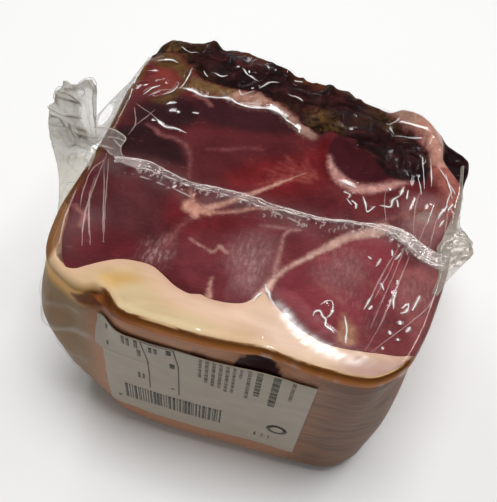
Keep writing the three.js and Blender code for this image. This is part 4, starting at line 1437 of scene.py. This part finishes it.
def makeSeal():
    look = sealLook
    bm = sheetMesh(look["lengths"], look["strips"])
    counted = countedPlaces(bm)
    share = counted[:, 0]
    across = look["behind"] - (look["behind"] + look["ahead"]) * (1 - counted[:, 1])
    centre = alongLine(sealLine, share)
    flat = centre + leftOf(sealLine, share) * across[:, None]
    place = skinPlaces(flat)
    lift, haze, shine = sealRelief(flat)
    place[:, 2] += look["lift"] + lift
    places, fields = thicken(bm, place, (0, 0, look["thick"]), haze=haze, sheen=shine)
    finishFilm("filmSeal", bm, places, fields, "weldedFilm", look["tone"], "welded")


makeSeal()

print("ears")

# Webs and ears of the film. A station gives a place at the ham's rim, then that of the film's edge.
earLooks = {
    "filmEarLeft": {
        "stations": [
            (-60.8, 52, 82.4, -61.6, 50, 83.6), (-61.4, 36, 85.6, -62, 35.7, 86.6),
            (-61, 28, 86.6, -61.4, 28.7, 89.8), (-60.8, 19, 87.2, -61.2, 19.3, 94.1),
            (-60.6, 9, 88, -61.2, 11.2, 97.3), (-60.6, 5, 88.2, -61.1, 5.2, 99.5),
            (-60.8, 2.5, 88.4, -61.2, -0.5, 101.7), (-61.4, 0, 88.6, -61, -3, 103.5),
            (-61.6, -0.6, 88.8, -60.7, -3.2, 106), (-61.8, -1, 88.8, -60.4, -3.2, 112.8),
            (-61.9, -1.2, 88.8, -59.5, -3.2, 117), (-62, -1.4, 88.8, -58.3, -3.4, 119.4),
            (-62.1, -1.5, 88.8, -59.4, -3, 121), (-62.3, -1.6, 88.8, -62, -2.6, 119.8),
            (-62.5, -1.7, 88.7, -64.3, -3, 117.6), (-62.6, -1.7, 88.7, -64.8, -3, 116.7),
            (-62.8, -1.8, 88.6, -67.2, -3.2, 116.2), (-62.9, -1.9, 88.5, -68.2, -3, 116.9),
            (-63, -1.9, 88.5, -69.4, -3, 116), (-63.1, -2, 88.4, -70, -3, 114.2),
            (-63.1, -2, 88.4, -71.7, -3, 113.4), (-63.2, -2.1, 88.3, -73.4, -3, 110.4),
            (-63.3, -2.2, 88.2, -74, -3, 108.2), (-63.3, -2.3, 88.1, -73.7, -3, 106),
            (-63.4, -2.4, 88, -76, -3, 104), (-63.5, -2.5, 87.9, -76.5, -3, 101.2),
            (-61.6, -3, 87.6, -77.6, -3, 95), (-61.2, -4.4, 87.5, -77.9, -3.2, 90),
            (-60.9, -6.5, 87.4, -76.6, -5, 84), (-60.8, -11, 87.2, -73.4, -10, 80.6),
            (-60.8, -18, 86.6, -70.2, -16.6, 80), (-61.2, -26, 85.4, -66.8, -25, 80.6),
            (-62.4, -34, 81.6, -64.6, -33, 79.4)],
        "around": 420, "outward": 110, "crumple": 1.2, "seed": 9, "haze": 0.22, "tone": (206, 198, 182),
    },
    "filmEarRight": {
        "stations": [
            (61.8, 34, 85, 62.6, 34, 85.8), (61.8, 22, 86, 62.8, 21, 87.2),
            (61.2, 14, 86.8, 62.9, 13.6, 88.2), (60.6, 8, 87.2, 62.8, 9, 88.6),
            (59.8, 4.4, 87.8, 63.4, 3.6, 89), (58.8, 0, 88.2, 65.6, 1, 89.2),
            (58, -3.5, 88.4, 67, -0.3, 88.8), (57.4, -5, 88.6, 68, -1.4, 88.4),
            (57, -6, 88.6, 67.7, -3, 88.2), (56.8, -7, 88.6, 68.5, -4.8, 88),
            (57, -8, 88.4, 68.1, -6.5, 87.8), (57.4, -10, 88.2, 66.2, -9.8, 87.6),
            (58.2, -13, 87.9, 63.8, -14.2, 87.8), (58.8, -17, 87.6, 61.7, -18.2, 87.8),
            (57.6, -24, 87.4, 59.4, -24.6, 88)],
        "around": 190, "outward": 64, "crumple": 1.0, "seed": 10, "haze": 0.26, "tone": (166, 154, 141),
    },
    "filmKnot": {
        "stations": [
            (-62.5, -1, 90.6, -64.6, 3.1, 91.8), (-61.5, -2, 90.2, -62.7, 4, 91.2),
            (-60, -2.6, 89.8, -58.9, 5.3, 90.6), (-58.5, -3.2, 89.4, -55.8, 4.7, 90.2),
            (-57.5, -3.6, 89.2, -53.1, 3.2, 90), (-56.5, -4.2, 89, -53.4, -0.7, 89.6),
            (-55, -4.8, 88.8, -52, -3.5, 89.2), (-53.4, -5.6, 88.8, -49.8, -4.4, 89)],
        "around": 110, "outward": 40, "crumple": 0.5, "seed": 11, "haze": 0.06, "tone": (206, 192, 182),
    },
}
# a clear spot of the left web, with its reach along y and z
clearSpot = {"at": (6.2, 95.8), "reach": (7.0, 2.6), "tilt": -22.0}
earThick = 0.2
ribbonLift, ribbonThick = 0.05, 0.03


def earLine(look):
    return smoothLine(look["stations"], 0.5)


# Sharp folds in seeded directions: their height, and the distance to the nearest crease
def folded(place, sizes, seed):
    random = np.random.default_rng(seed)
    height, nearest = np.zeros(len(place)), np.full(len(place), 9.0)
    for index, size in enumerate(sizes):
        heading = random.normal(size=3)
        heading /= np.linalg.norm(heading)
        value = place @ heading / size + random.uniform(0, 1)
        value = value + 0.45 * lumps(*place.T, 1.6 * size, seed + index)
        crease = np.abs(value - np.round(value))
        strength = 0.4 + 0.6 * ramp(lumps(*place.T, 2.0 * size, seed + 40 + index), -0.4, 0.4)
        height += size * 0.3 * strength * (crease - 0.25)
        nearest = np.minimum(nearest, size * crease + 0.7 * (1 - strength))
    return height, nearest


def makeEar(name, look):
    bm = sheetMesh(look["around"], look["outward"])
    counted = countedPlaces(bm)
    share, ring = counted[:, 0], counted[:, 1]
    line = earLine(look)
    both = alongLine(line, share)
    turn = alongLine(np.gradient(line[:, 3:], axis=0), share)
    start, end = both[:, :3], both[:, 3:]
    aside = np.cross(end - start, turn)
    aside /= np.maximum(np.linalg.norm(aside, axis=1), 1e-6)[:, None]
    place = start + (end - start) * ring[:, None]
    x, y, z = place.T
    seed = look["seed"]
    width = np.linalg.norm(end - start, axis=1)
    free = ramp(ring * width, 0.5, 6.0) * ramp(width, 2, 8)
    if name == "filmEarLeft":
        outer = ramp(-x - 1.4 * lumps(x, y, z, 5, 33), 64.0, 66.0)
        crumpled = np.maximum(outer, ramp(z, 113.5, 115.5)) * ramp(z, 86, 95)
        neck = bell(z, 90.5, 5.5) * ramp(-x, 60, 63) * ramp(14 + y, 0, 6)
    elif name == "filmEarRight":
        crumpled, neck = ramp(x, 57.5, 60) * ramp(-y, -5, 0) * ramp(15 + y, 0, 5), np.zeros(len(x))
    else:
        crumpled, neck = np.full(len(x), 0.3), np.zeros(len(x))
    folds, crease = folded(place, (11, 8, 6, 4.6, 3.4), seed)
    height = look["crumple"] * free * (0.3 * lumps(x, y, z, 9, seed) + crumpled * folds)
    fibres = np.abs(lumps(x * 0.35, y, z, 2.6, seed + 45))
    height += free * neck * 0.7 * (1 - 2 * fibres)
    rim = 1 + crumpled * ramp(ring, 0.8, 1) * 0.03 * lumps(share * 260, 0, 0, 4, seed + 50)
    place = start + (place - start) * rim[:, None] + aside * height[:, None]
    x, y, z = place.T
    # along the creases: painted highlights in the haze, and painted shade where shady; painted shade also
    # greys the crumpled part and the neck
    creaseGlintAndShade = ramp(0.42 - crease, 0, 0.34)
    shady = ramp(lumps(x, y, z, 2.6, seed + 65), -0.1, 0.25)
    soft = 0.5 + 0.5 * lumps(x, y, z, 8, seed + 60)
    veins = ramp(0.12 - np.abs(lumps(x * 2.0, y * 0.3, z * 0.25, 3.0, seed + 70)), 0, 0.10)
    fibrous = ramp(0.14 - fibres, 0, 0.12) * neck
    haze = look["haze"] + 0.05 * soft + 0.06 * veins + crumpled * (0.16 + 0.10 * soft + 0.42 * creaseGlintAndShade)
    haze += neck * (0.12 + 0.1 * soft) + 0.3 * fibrous
    dark = 0.12 * veins + crumpled * (0.10 + 0.85 * creaseGlintAndShade * shady) + 0.10 * neck + 0.6 * fibrous * shady
    if name == "filmEarLeft":
        low = ramp(-y, 2, 8) * ramp(-z, -88, -84)
        haze += low * (0.20 + 0.10 * veins) + 0.08 * ramp(0.35 - ring, 0, 0.3) * ramp(y, 2, 8)
        tilt = math.radians(clearSpot["tilt"])
        away = y - clearSpot["at"][0], z - clearSpot["at"][1]
        long = (away[0] * math.cos(tilt) + away[1] * math.sin(tilt)) / clearSpot["reach"][0]
        short = (away[1] * math.cos(tilt) - away[0] * math.sin(tilt)) / clearSpot["reach"][1]
        clear = ramp(1.15 - np.hypot(long, short), 0, 0.3) * ramp(y + 1.5, 0, 1.5)
        haze, dark = haze * (1 - clear), dark * (1 - clear)
    elif name == "filmKnot":
        haze = look["haze"] + 0.4 * ramp(0.3 - crease, 0, 0.25) + 0.35 * ramp(ring, 0.92, 0.99)
        dark = 0.2 * np.ones(len(place))
    sheen = 0.25 + 0.55 * np.maximum(crumpled, neck)
    haze, dark = np.clip(haze, 0, 1), np.clip(dark, 0, 1)
    places, fields = thicken(bm, place, aside * earThick, haze=haze, sheen=sheen, dark=dark)
    finishFilm(name, bm, places, fields, name + "Film", look["tone"], "crumpled")


for earName, earLook in earLooks.items():
    makeEar(earName, earLook)

print("folds")

# Taut creases of the film: courses over the upper side, and lines out to the ears' edges
foldLook = {
    "thick": 0.13,
    "courses": [
        [(-57.1, -5.8), (-59.6, -11.3), (-59.2, -20), (-57.8, -26.9)],
        [(-57.7, -6), (-56.5, -9), (-52.6, -19), (-47.3, -33.9)],
        [(-57.7, -13.4), (-56.6, -21.4), (-53.9, -29), (-49, -40)],
        [(-57.6, -3.6), (-56.8, -14.9), (-55.1, -29.4), (-51.4, -41)],
        [(-56.1, -5.5), (-51, -21.7), (-45.5, -38)], [(-61.4, -20.9), (-60.6, -32.2), (-58.2, -42.8)],
        [(-56.5, 22.1), (-49.8, 19.3), (-46.5, 17.4)], [(-56.4, 20.5), (-53.2, 12.5), (-53.9, 6.8)],
        [(-49.2, 21.6), (-51.5, 15.6), (-53.9, 9.8)], [(-56.2, 28.6), (-54.5, 31.4), (-52, 32.9)],
        [(-53.6, 27.4), (-50.6, 31.6), (-47.1, 33.4)], [(-51.4, 27.6), (-47.6, 31.6), (-45.8, 36.6)],
        [(49.3, -9.4), (46.5, -26.1), (43.7, -39.9), (40.8, -50.1)],
        [(44.4, -11.8), (43.6, -19.3), (40.5, -31.8)],
        [(61.4, -18.4), (56.2, -31), (48.4, -42), (42.4, -50)], [(46.2, -6.2), (42, -19.8), (38.4, -36.1)],
        [(47, -8), (44.4, -24), (41, -42)], [(53, 6), (51.6, -2), (50.6, -8)],
        [(56, 9), (55.2, 0), (54.6, -10)], [(59, 12), (59, 2), (58.6, -8)], [(49, 18), (48, 8), (49, -4)],
        [(37.2, 12), (37.8, 5), (39.4, -1)]],
    # creases between an ear's root and its edge: share along the edge, and how far out they reach
    "rays": {
        "filmEarLeft": [(0.05, 1), (0.12, 1), (0.20, 1), (0.86, 0.9), (0.91, 1), (0.96, 1)],
        "filmEarRight": [(0.1, 1), (0.25, 1), (0.9, 1)],
    },
    "rayFrom": 0.1,
    "tone": (226, 178, 170), "strength": 0.36, "skirt": 0.0, "wander": 0.12,
    "rayThick": 0.14, "hemThick": 0.2, "looseThick": 0.26,
    "hemTone": (200, 194, 180), "hemHaze": 0.5,
    # loose creases of the left ear
    "loose": [
        [(-70.9, -1.4, 108.3), (-70.4, -1.4, 105.8), (-71.8, -1.6, 102.1), (-70.9, -1.6, 97.7)],
        [(-76, -2, 89.6), (-73.9, -2, 86.3), (-72.2, -2, 82.3)],
        [(-74.8, -2, 95.4), (-72.4, -2, 97.2), (-71.9, -2, 96)],
        [(-64, -2, 115.3), (-63.4, -2, 112.6), (-64.9, -2, 110.3)],
        [(-70, -2, 92), (-64.2, -2.6, 90.5), (-59.5, -3.2, 89.8)],
        [(-68, -2, 95), (-62.5, -2.4, 93), (-59.8, -2.8, 90.6)]],
}

# Painted highlights: white haze ribbons that stand for the film's glints, with their courses over the upper
# side and half the bright core's width
paintedGlintLook = {
    "courses": [
        (0.22, [
            (23.4, -43.3), (23.7, -41.6), (25.1, -41), (26.2, -42.3), (27.4, -43.4), (27.7, -45.5),
            (29.7, -46.1), (30.9, -47)]),
        (0.22, [(24.8, -38.9), (26.3, -37.2), (27.7, -36.6), (28.7, -38.9), (28.4, -41.3), (27.5, -42.8)]),
        (0.24, [(32.6, -40.4), (34.1, -44.4), (34.7, -49.3)]), (0.3, [(41.7, -25.3), (42.8, -27.7)]),
        (0.18, [(37.9, -36.7), (39.9, -30.1)]), (0.24, [(39.3, -36.1), (40.1, -34.3)]),
        (0.28, [(46.7, -33.5), (46.4, -30.7), (46.7, -26.6)]),
        (0.26, [(49, -34.4), (50.7, -33.1), (51, -30.3), (49.1, -32.6)]),
        (0.3, [(52.4, -32.4), (54.1, -26.1)]), (0.4, [(49.2, -36.9), (49.6, -38.3)]),
        (0.32, [(49.5, -43), (49.9, -43.8)]), (0.34, [(23.3, 7.1), (25.6, 6.5), (25.4, 4.7)]),
        (0.3, [(26.6, 4.3), (28.3, 3.1), (28.7, 1.2)]), (0.24, [(24.8, 4.4), (27, 2.3)]),
        (0.3, [(30, 6.9), (31.5, 3.9), (32.5, 1.1), (34.8, 4.4)]),
        (0.28, [(36.2, 4.9), (39.6, 5.7), (40, 8.8), (42.4, 11.9)]), (0.3, [(38.1, 13.9), (38.6, 12.7)]),
        (0.28, [(43, 16.1), (42.4, 11.9)]), (0.2, [(44.7, 15), (44.7, 10.7)]),
        (0.2, [(41.4, 9.6), (42.2, 6.3)]), (0.34, [(58.6, 12.4), (56.4, 7.5), (56.2, 5.9)]),
        (0.3, [(60.4, 14), (58.8, 10.3)]), (0.26, [(58.3, 6.2), (56.8, 2.6)]),
        (0.26, [(35.9, -16.6), (37.2, -17.5)]), (0.22, [(40, -16.1), (39, -19.7)]),
        (0.22, [(42.9, -11.6), (43.4, -14)]), (0.22, [(46.1, -11.6), (44.5, -15.2)]),
        (0.34, [(20.9, 11.5), (23.8, 11.1), (27.3, 10.1)]),
        (0.26, [(-57, 47.2), (-55, 49.8), (-52.3, 50.9), (-49.7, 50.5)]),
        (0.14, [(-51.9, 61.7), (-47.4, 58), (-44.3, 59.4)]), (0.2, [(-58.2, 39.8), (-54.4, 40.9)]),
        (0.16, [(-55.7, 27), (-53.3, 32), (-51.3, 33.6)]), (0.14, [(-52.3, 28.6), (-50.2, 31.4)]),
        (0.16, [(-48.9, 29.6), (-46.3, 32.6), (-45.2, 37.3), (-46.3, 37.7)]),
        (0.18, [(-42.7, 46.6), (-43.2, 40.9), (-43.5, 36.5), (-44.4, 34.3)]),
        (0.24, [(-39.2, 49.3), (-36.9, 46.4)]), (0.3, [(-46.2, 25.8), (-43.5, 28)]),
        (0.36, [(-41.5, 23.8), (-40.3, 23)]), (0.22, [(-36.2, 24.9), (-33.7, 25.4)]),
        (0.26, [(-48.2, 18.4), (-43.9, 15.6), (-39.4, 15.6), (-35.1, 14.9)]),
        (0.26, [(-16.3, 44.3), (-13, 51.9), (-10.4, 53)]), (0.4, [(-28.1, 57.2), (-27, 56.5)]),
        (0.22, [(-25.8, 56.5), (-18.2, 50.5)]), (0.24, [(-23.1, 56.9), (-22.8, 55.7)]),
        (0.16, [(-35.3, 49.8), (-32.1, 49.6), (-30.1, 51.2)]),
        (0.18, [(-23.1, 41.4), (-21.5, 39), (-17.8, 43.3)]), (0.3, [(-5.4, 59.6), (-2.2, 59.9)]),
        (0.26, [(-5.7, 47.7), (0.5, 45.3)]), (0.4, [(-16.9, 61.6), (-16.2, 62.1)]),
        (0.34, [(-13.8, 61.1), (-13.2, 61)]),
        (0.3, [
            (-44, 35.2), (-39.7, 35.7), (-34.8, 34.2), (-30, 35.4), (-25.7, 36.2), (-21.7, 34.6),
            (-16.8, 34.2)]),
        (0.26, [(-17, 34.2), (-10.8, 36), (-6.7, 35.1), (-2.6, 32.4), (2.9, 29.4)]),
        (0.75, [(-10.6, 36.3), (-8.6, 36.3), (-5.6, 35), (-2.7, 34.2)]),
        (0.5, [(1.2, 31.4), (2.6, 29.6), (2.9, 28)]),
        (0.45, [(6.8, -36.6), (7.6, -38.6), (8.8, -39.6), (9.6, -41.4), (11.4, -43.2)]),
        (0.3, [(4.9, -44), (5.6, -41.6), (6.8, -39.8)]), (0.13, [(46.5, 35.3), (48.4, 26.2), (50, 17.3)]),
        (0.13, [(50.3, 31.7), (51.5, 24.9), (52.2, 19)]), (0.15, [(56.3, 26.5), (58.3, 21.1), (59.9, 16.1)]),
        (0.12, [(53.5, 28.9), (56.9, 24.3), (60.8, 18.2)]), (0.12, [(47.2, 22), (48.4, 18.6), (49.3, 14.3)]),
        (0.14, [(59.4, 20.5), (58.6, 15.6), (57.8, 10)]), (0.12, [(54.1, 11.9), (53.4, 7.2), (52.9, 2.3)]),
        (0.34, [(46.5, -41.2), (47.2, -42.4)]), (0.3, [(52.6, -38.2), (51.6, -40.4)]),
        (0.3, [(45.2, -47.2), (46, -47.9)])],
    "tone": (252, 246, 240), "strength": 0.62, "skirt": 0.28, "wander": 0.15,
}


# Ribbons of film laid flat over the upper side, cloudiest along their middle, as one piece
def makeRibbons(name, look, ribbons):
    bm, flats, hazes = bmesh.new(), [], []
    for index, (half, course) in enumerate(ribbons):
        line = smoothLine(course, 0.25)
        line = line + look["wander"] * np.column_stack([lumps(*line.T, 0, 2.5, seed) for seed in (124, 125)])
        before = len(bm.verts)
        bmesh.ops.create_grid(bm, x_segments=len(line) - 1, y_segments=10, size=0.5)
        share, across = (countedPlaces(bm)[before:, :2] + 0.5).T
        ends = np.sin(math.pi * np.clip(share, 0.02, 0.98)) ** 0.5
        width = half * (0.3 + 0.7 * ends) * (1 + 0.4 * lumps(share * len(line) / 4, 0, 0, 2, index + 1))
        offset = leftOf(line, share) * ((2 * across - 1) * 3.0 * width)[:, None]
        flats.append(alongLine(line, share) + offset)
        skirt = look["skirt"] * bell(2 * across - 1, 0, 0.6) * (4 * across * (1 - across))
        profile = bell(2 * across - 1, 0, 0.28) + skirt
        hazes.append(look["strength"] * profile * (0.3 + 0.7 * ends)
                     * (0.85 + 0.3 * lumps(share * len(line) / 4, 0, 0, 3, index + 60)))
    haze = np.clip(np.concatenate(hazes), 0, 1)
    places = skinPlaces(np.vstack(flats)) + (0, 0, ribbonLift)
    places, fields = thicken(bm, places, (0, 0, ribbonThick), haze=haze, sheen=np.full(len(haze), 0.3))
    finishFilm(name, bm, places, fields, name + "Film", look["tone"], "gathered")


# Thin round lines of film along given places, as one piece
def makeLines(name, paths, tone, haze):
    curve = bpy.data.curves.new("linePaths", "CURVE")
    curve.dimensions = "3D"
    curve.bevel_depth = 1.0
    curve.bevel_resolution = 2
    curve.use_fill_caps = True
    for index, (places, thick) in enumerate(paths):
        spline = curve.splines.new("POLY")
        spline.points.add(len(places) - 1)
        share = np.linspace(0, 1, len(places))
        width = thick * (0.25 + 0.75 * np.sin(math.pi * share) ** 0.6)
        width = width * (1 + 0.3 * lumps(share * 40, 0, 0, 3, index + 1))
        for point, place, radius in zip(spline.points, places, width):
            point.co = (*place, 1)
            point.radius = radius
    holder = bpy.data.objects.new("linePaths", curve)
    mesh = bpy.data.meshes.new_from_object(holder)
    bpy.data.objects.remove(holder)
    bm = bmesh.new()
    bm.from_mesh(mesh)
    bpy.data.meshes.remove(mesh)
    bmesh.ops.remove_doubles(bm, verts=bm.verts, dist=1e-3)
    places = countedPlaces(bm)
    cloudy = np.clip(haze * (1 + 0.5 * lumps(*places.T, 3, 123)), 0, 1)
    fields = {"haze": cloudy, "sheen": np.full(len(places), 0.5)}
    finishFilm(name, bm, places, fields, name + "Film", tone, "rolled")


def makeHems():
    look, paths = foldLook, []
    for name, rays in look["rays"].items():
        for share, reach in rays:
            both = alongLine(earLine(earLooks[name]), np.array([share]))[0]
            t = np.linspace(look["rayFrom"], reach, 30)[:, None]
            paths.append((both[:3] + (both[3:] - both[:3]) * t, look["rayThick"]))
    paths += [(earLine(ear)[:, 3:], look["hemThick"]) for ear in earLooks.values()]
    paths += [(smoothLine(course, 0.6), look["looseThick"]) for course in look["loose"]]
    makeLines("filmHems", paths, look["hemTone"], look["hemHaze"])


makeHems()
makeRibbons("filmFolds", foldLook, [(foldLook["thick"], course) for course in foldLook["courses"]])
# painted highlights: white ribbons in place of the film's glints
makeRibbons("filmPaintedGlints", paintedGlintLook, paintedGlintLook["courses"])

print("label")

labelLook = {
    "left": -39.5, "width": 70.0, "top": 76.0, "height": 58.5, "thick": 0.22,
    "across": 140, "down": 110, "lift": 0.62, "crease": 0.5,
    "paper": (156, 144, 128), "fibre": (163, 151, 135), "stain": (176, 162, 142), "ink": (36, 33, 31),
}


def frontShare(x):
    count = int(len(planLine) * 0.3)
    return np.interp(x, planLine[:count, 0], planShare[:count])


labelShares = (frontShare(labelLook["left"]), frontShare(labelLook["left"] + labelLook["width"]))


# Place on the label at millimetres from its left edge and its top, lifted off the paper
def labelPlace(x, down, lift=0.0):
    look = labelLook
    share = labelShares[0] + (labelShares[1] - labelShares[0]) * x / look["width"]
    base, outward = planAt(share)
    z = look["top"] - down
    crease = look["crease"] * (0.5 + 0.5 * lumps(x, 0, z, 9, 6))
    crease = crease + 0.25 * bell(down, 15.4, 1.0) * ramp(30 - x, 0, 26)
    crease = crease + 0.3 * bell(down + 0.2 * x, 32, 2.0) * bell(x, 60, 16) + 0.12 * lumps(x, 3, z, 4, 101)
    reach = wallOut(base[..., 0], base[..., 1], z, True) + look["lift"] + crease + lift
    return np.concatenate([base + outward * reach[..., None], np.asarray(z)[..., None]], -1)


def labelMaterial():
    material, tree = newMaterial("labelPaper")
    look = labelLook
    fibres = grain(tree, scale=900.0)
    stain = grain(tree, stretch=(1.0, 1.0, 2.5), scale=60.0, detail=3.0, low=0.35, high=0.7)
    tone = blended(tree, times(tree, fibres, 0.10), rgba(look["paper"]), rgba(look["fibre"]))
    tone = blended(tree, times(tree, stain, 0.16), tone, rgba(look["stain"]))
    lift = bumped(tree, 0.12, 0.0003)
    setSurface(tree, {"Base Color": tone, "Roughness": 0.42, "Normal": lift})
    return material


def makeLabel():
    look = labelLook
    bm = sheetMesh(look["across"], look["down"])
    counted = countedPlaces(bm)
    down = (1 - counted[:, 1]) * look["height"]
    step = -3.0 * (1 - ramp(down, 14.2, 15.6)) + 0.4
    x = step + (look["width"] - step) * counted[:, 0]
    back = labelPlace(x, down)
    places = thicken(bm, back, labelPlace(x, down, look["thick"]) - back)[0]
    finishPiece("paperLabel", bm, places, labelMaterial(), "label")


# Print in plain shapes, millimetres from the label's left edge and top: left, top, width, height, shade
printLook = {
    "blocks": [
        (7.6, 0.6, 1, 5.4, 0.8), (9.2, 1, 1, 5.2, 0.8), (11.8, 0.8, 1.2, 5.2, 0.9), (12.6, 7, 1.2, 4.6, 0.7),
        (16.6, 2.4, 1.1, 3.8, 0.9), (18.3, 2.4, 1.1, 3.6, 0.8), (22.3, 1.4, 1.6, 3, 0.9),
        (23.5, 9.9, 1.7, 3.6, 0.7), (12.2, 24.2, 1, 4.2, 0.35), (13.9, 24.4, 0.8, 3.6, 0.35),
        (1, 1.7, 0.9, 2, 0.5), (1.8, 9.6, 0.9, 2.4, 0.25), (23.9, 29.2, 1.2, 0.9, 0.4),
        (4, 48.8, 0.9, 1.6, 0.9), (54.6, 48.6, 0.7, 3.2, 0.25), (57.2, 48.9, 0.7, 3, 0.25),
        (59.6, 49.2, 0.7, 2.6, 0.25)],
    "rules": [
        [(14, 0.5), (16.2, 13.6), (16.5, 34.2)], [(24.6, 0.4), (26.4, 11), (26.7, 33.6)],
        [(14, 0.5), (24.6, 0.4)]],
    "ruleWidth": 0.45,
    # columns of small type: left, width, top, length and shade
    "columns": [
        (33, 1, 0.6, 13.6, 0.6), (35.1, 1.1, 0.6, 16, 0.65), (37.3, 1.1, 0.6, 17.6, 0.65),
        (39.5, 1.1, 0.6, 17.6, 0.6), (41.7, 1.1, 0.6, 19.2, 0.6), (43.9, 1, 0.6, 18.4, 0.6),
        (46, 1, 0.6, 6.4, 0.55), (48.6, 1.2, 0.4, 20, 0.6), (51.4, 1.9, 0.2, 16.8, 0.8),
        (56.6, 2.4, 0.2, 21, 0.9), (62.6, 1.2, 0.2, 13.2, 0.55)],
    "stripes": {"from": 7.0, "to": 42.6, "top": 36.8, "height": 12.0, "count": 58},
    "ring": {"at": (62.1, 40.8), "outer": 3.7, "inner": 2.3, "parts": 36},
}


def inkMaterial():
    material, tree = newMaterial("labelInk")
    worn = grain(tree, scale=1500.0, detail=3.0, low=0.3, high=0.75)
    shade = times(tree, field(tree, "inkShade"), maths(tree, "MULTIPLY_ADD", worn, 0.3, 0.75), True)
    tone = blended(tree, shade, rgba(labelLook["paper"]), rgba(labelLook["ink"]))
    setSurface(tree, {"Base Color": tone, "Roughness": 0.5})
    return material


def makePrint():
    look = printLook
    random = np.random.default_rng(23)
    boxes = list(look["blocks"])
    for left, width, top, length, shade in look["columns"]:
        at = top
        while at < top + length:
            word = random.uniform(1.0, 3.4)
            word = min(word, top + length - at)
            boxes.append((left, at, width, word, shade * random.uniform(0.8, 1.1)))
            at += word + random.uniform(0.35, 0.7)
    stripes = look["stripes"]
    at = stripes["from"]
    pitch = (stripes["to"] - stripes["from"]) / stripes["count"]
    while at < stripes["to"]:
        wide = pitch * random.choice([0.5, 0.5, 1.0, 1.5])
        boxes.append((at, stripes["top"] + random.uniform(0, 0.2), wide, stripes["height"], 1.0))
        at += wide + pitch * random.choice([0.5, 1.0, 1.0])
    bm = bmesh.new()
    layer = bm.verts.layers.float.new("shade")

    def strip(corners, shade, steps):
        made = bmesh.ops.create_grid(bm, x_segments=1, y_segments=steps, size=0.5)["verts"]
        for vert in made:
            u, v = vert.co.x + 0.5, vert.co.y + 0.5
            (a, b), (c, d) = corners
            left = np.array(a) * (1 - v) + np.array(b) * v
            right = np.array(c) * (1 - v) + np.array(d) * v
            spot = left * (1 - u) + right * u
            vert.co = (spot[0], spot[1], 0)
            vert[layer] = shade

    for left, top, width, height, shade in boxes:
        strip((((left, top), (left, top + height)), ((left + width, top), (left + width, top + height))),
              shade, max(1, int(height / 1.2)))
    for rule in look["rules"]:
        for a, b in zip(rule, rule[1:]):
            run = np.array(b) - np.array(a)
            across = np.array([run[1], -run[0]]) / np.linalg.norm(run) * look["ruleWidth"] / 2
            steps = max(2, int(np.linalg.norm(run) / 1.2))
            strip(((a - across, b - across), (a + across, b + across)), 0.9, steps)
    ring = look["ring"]
    for index in range(ring["parts"]):
        angles = [2 * math.pi * (index + side) / ring["parts"] for side in (0, 1)]
        spots = [[(ring["at"][0] + radius * math.cos(angle), ring["at"][1] + radius * math.sin(angle))
                  for radius in (ring["inner"], ring["outer"])] for angle in angles]
        strip(tuple(spots), 0.95, 2)
    bmesh.ops.remove_doubles(bm, verts=bm.verts, dist=1e-4)
    flat = countedPlaces(bm)
    x, down = flat[:, 0], flat[:, 1]
    low, high = (labelPlace(x, down, labelLook["thick"] + lift) for lift in (0.03, 0.09))
    places = thicken(bm, low, high - low)[0]
    shades = np.array([vert[layer] for vert in bm.verts])
    finishPiece("labelPrint", bm, places, inkMaterial(), "label", {"inkShade": shades})


makeLabel()
makePrint()
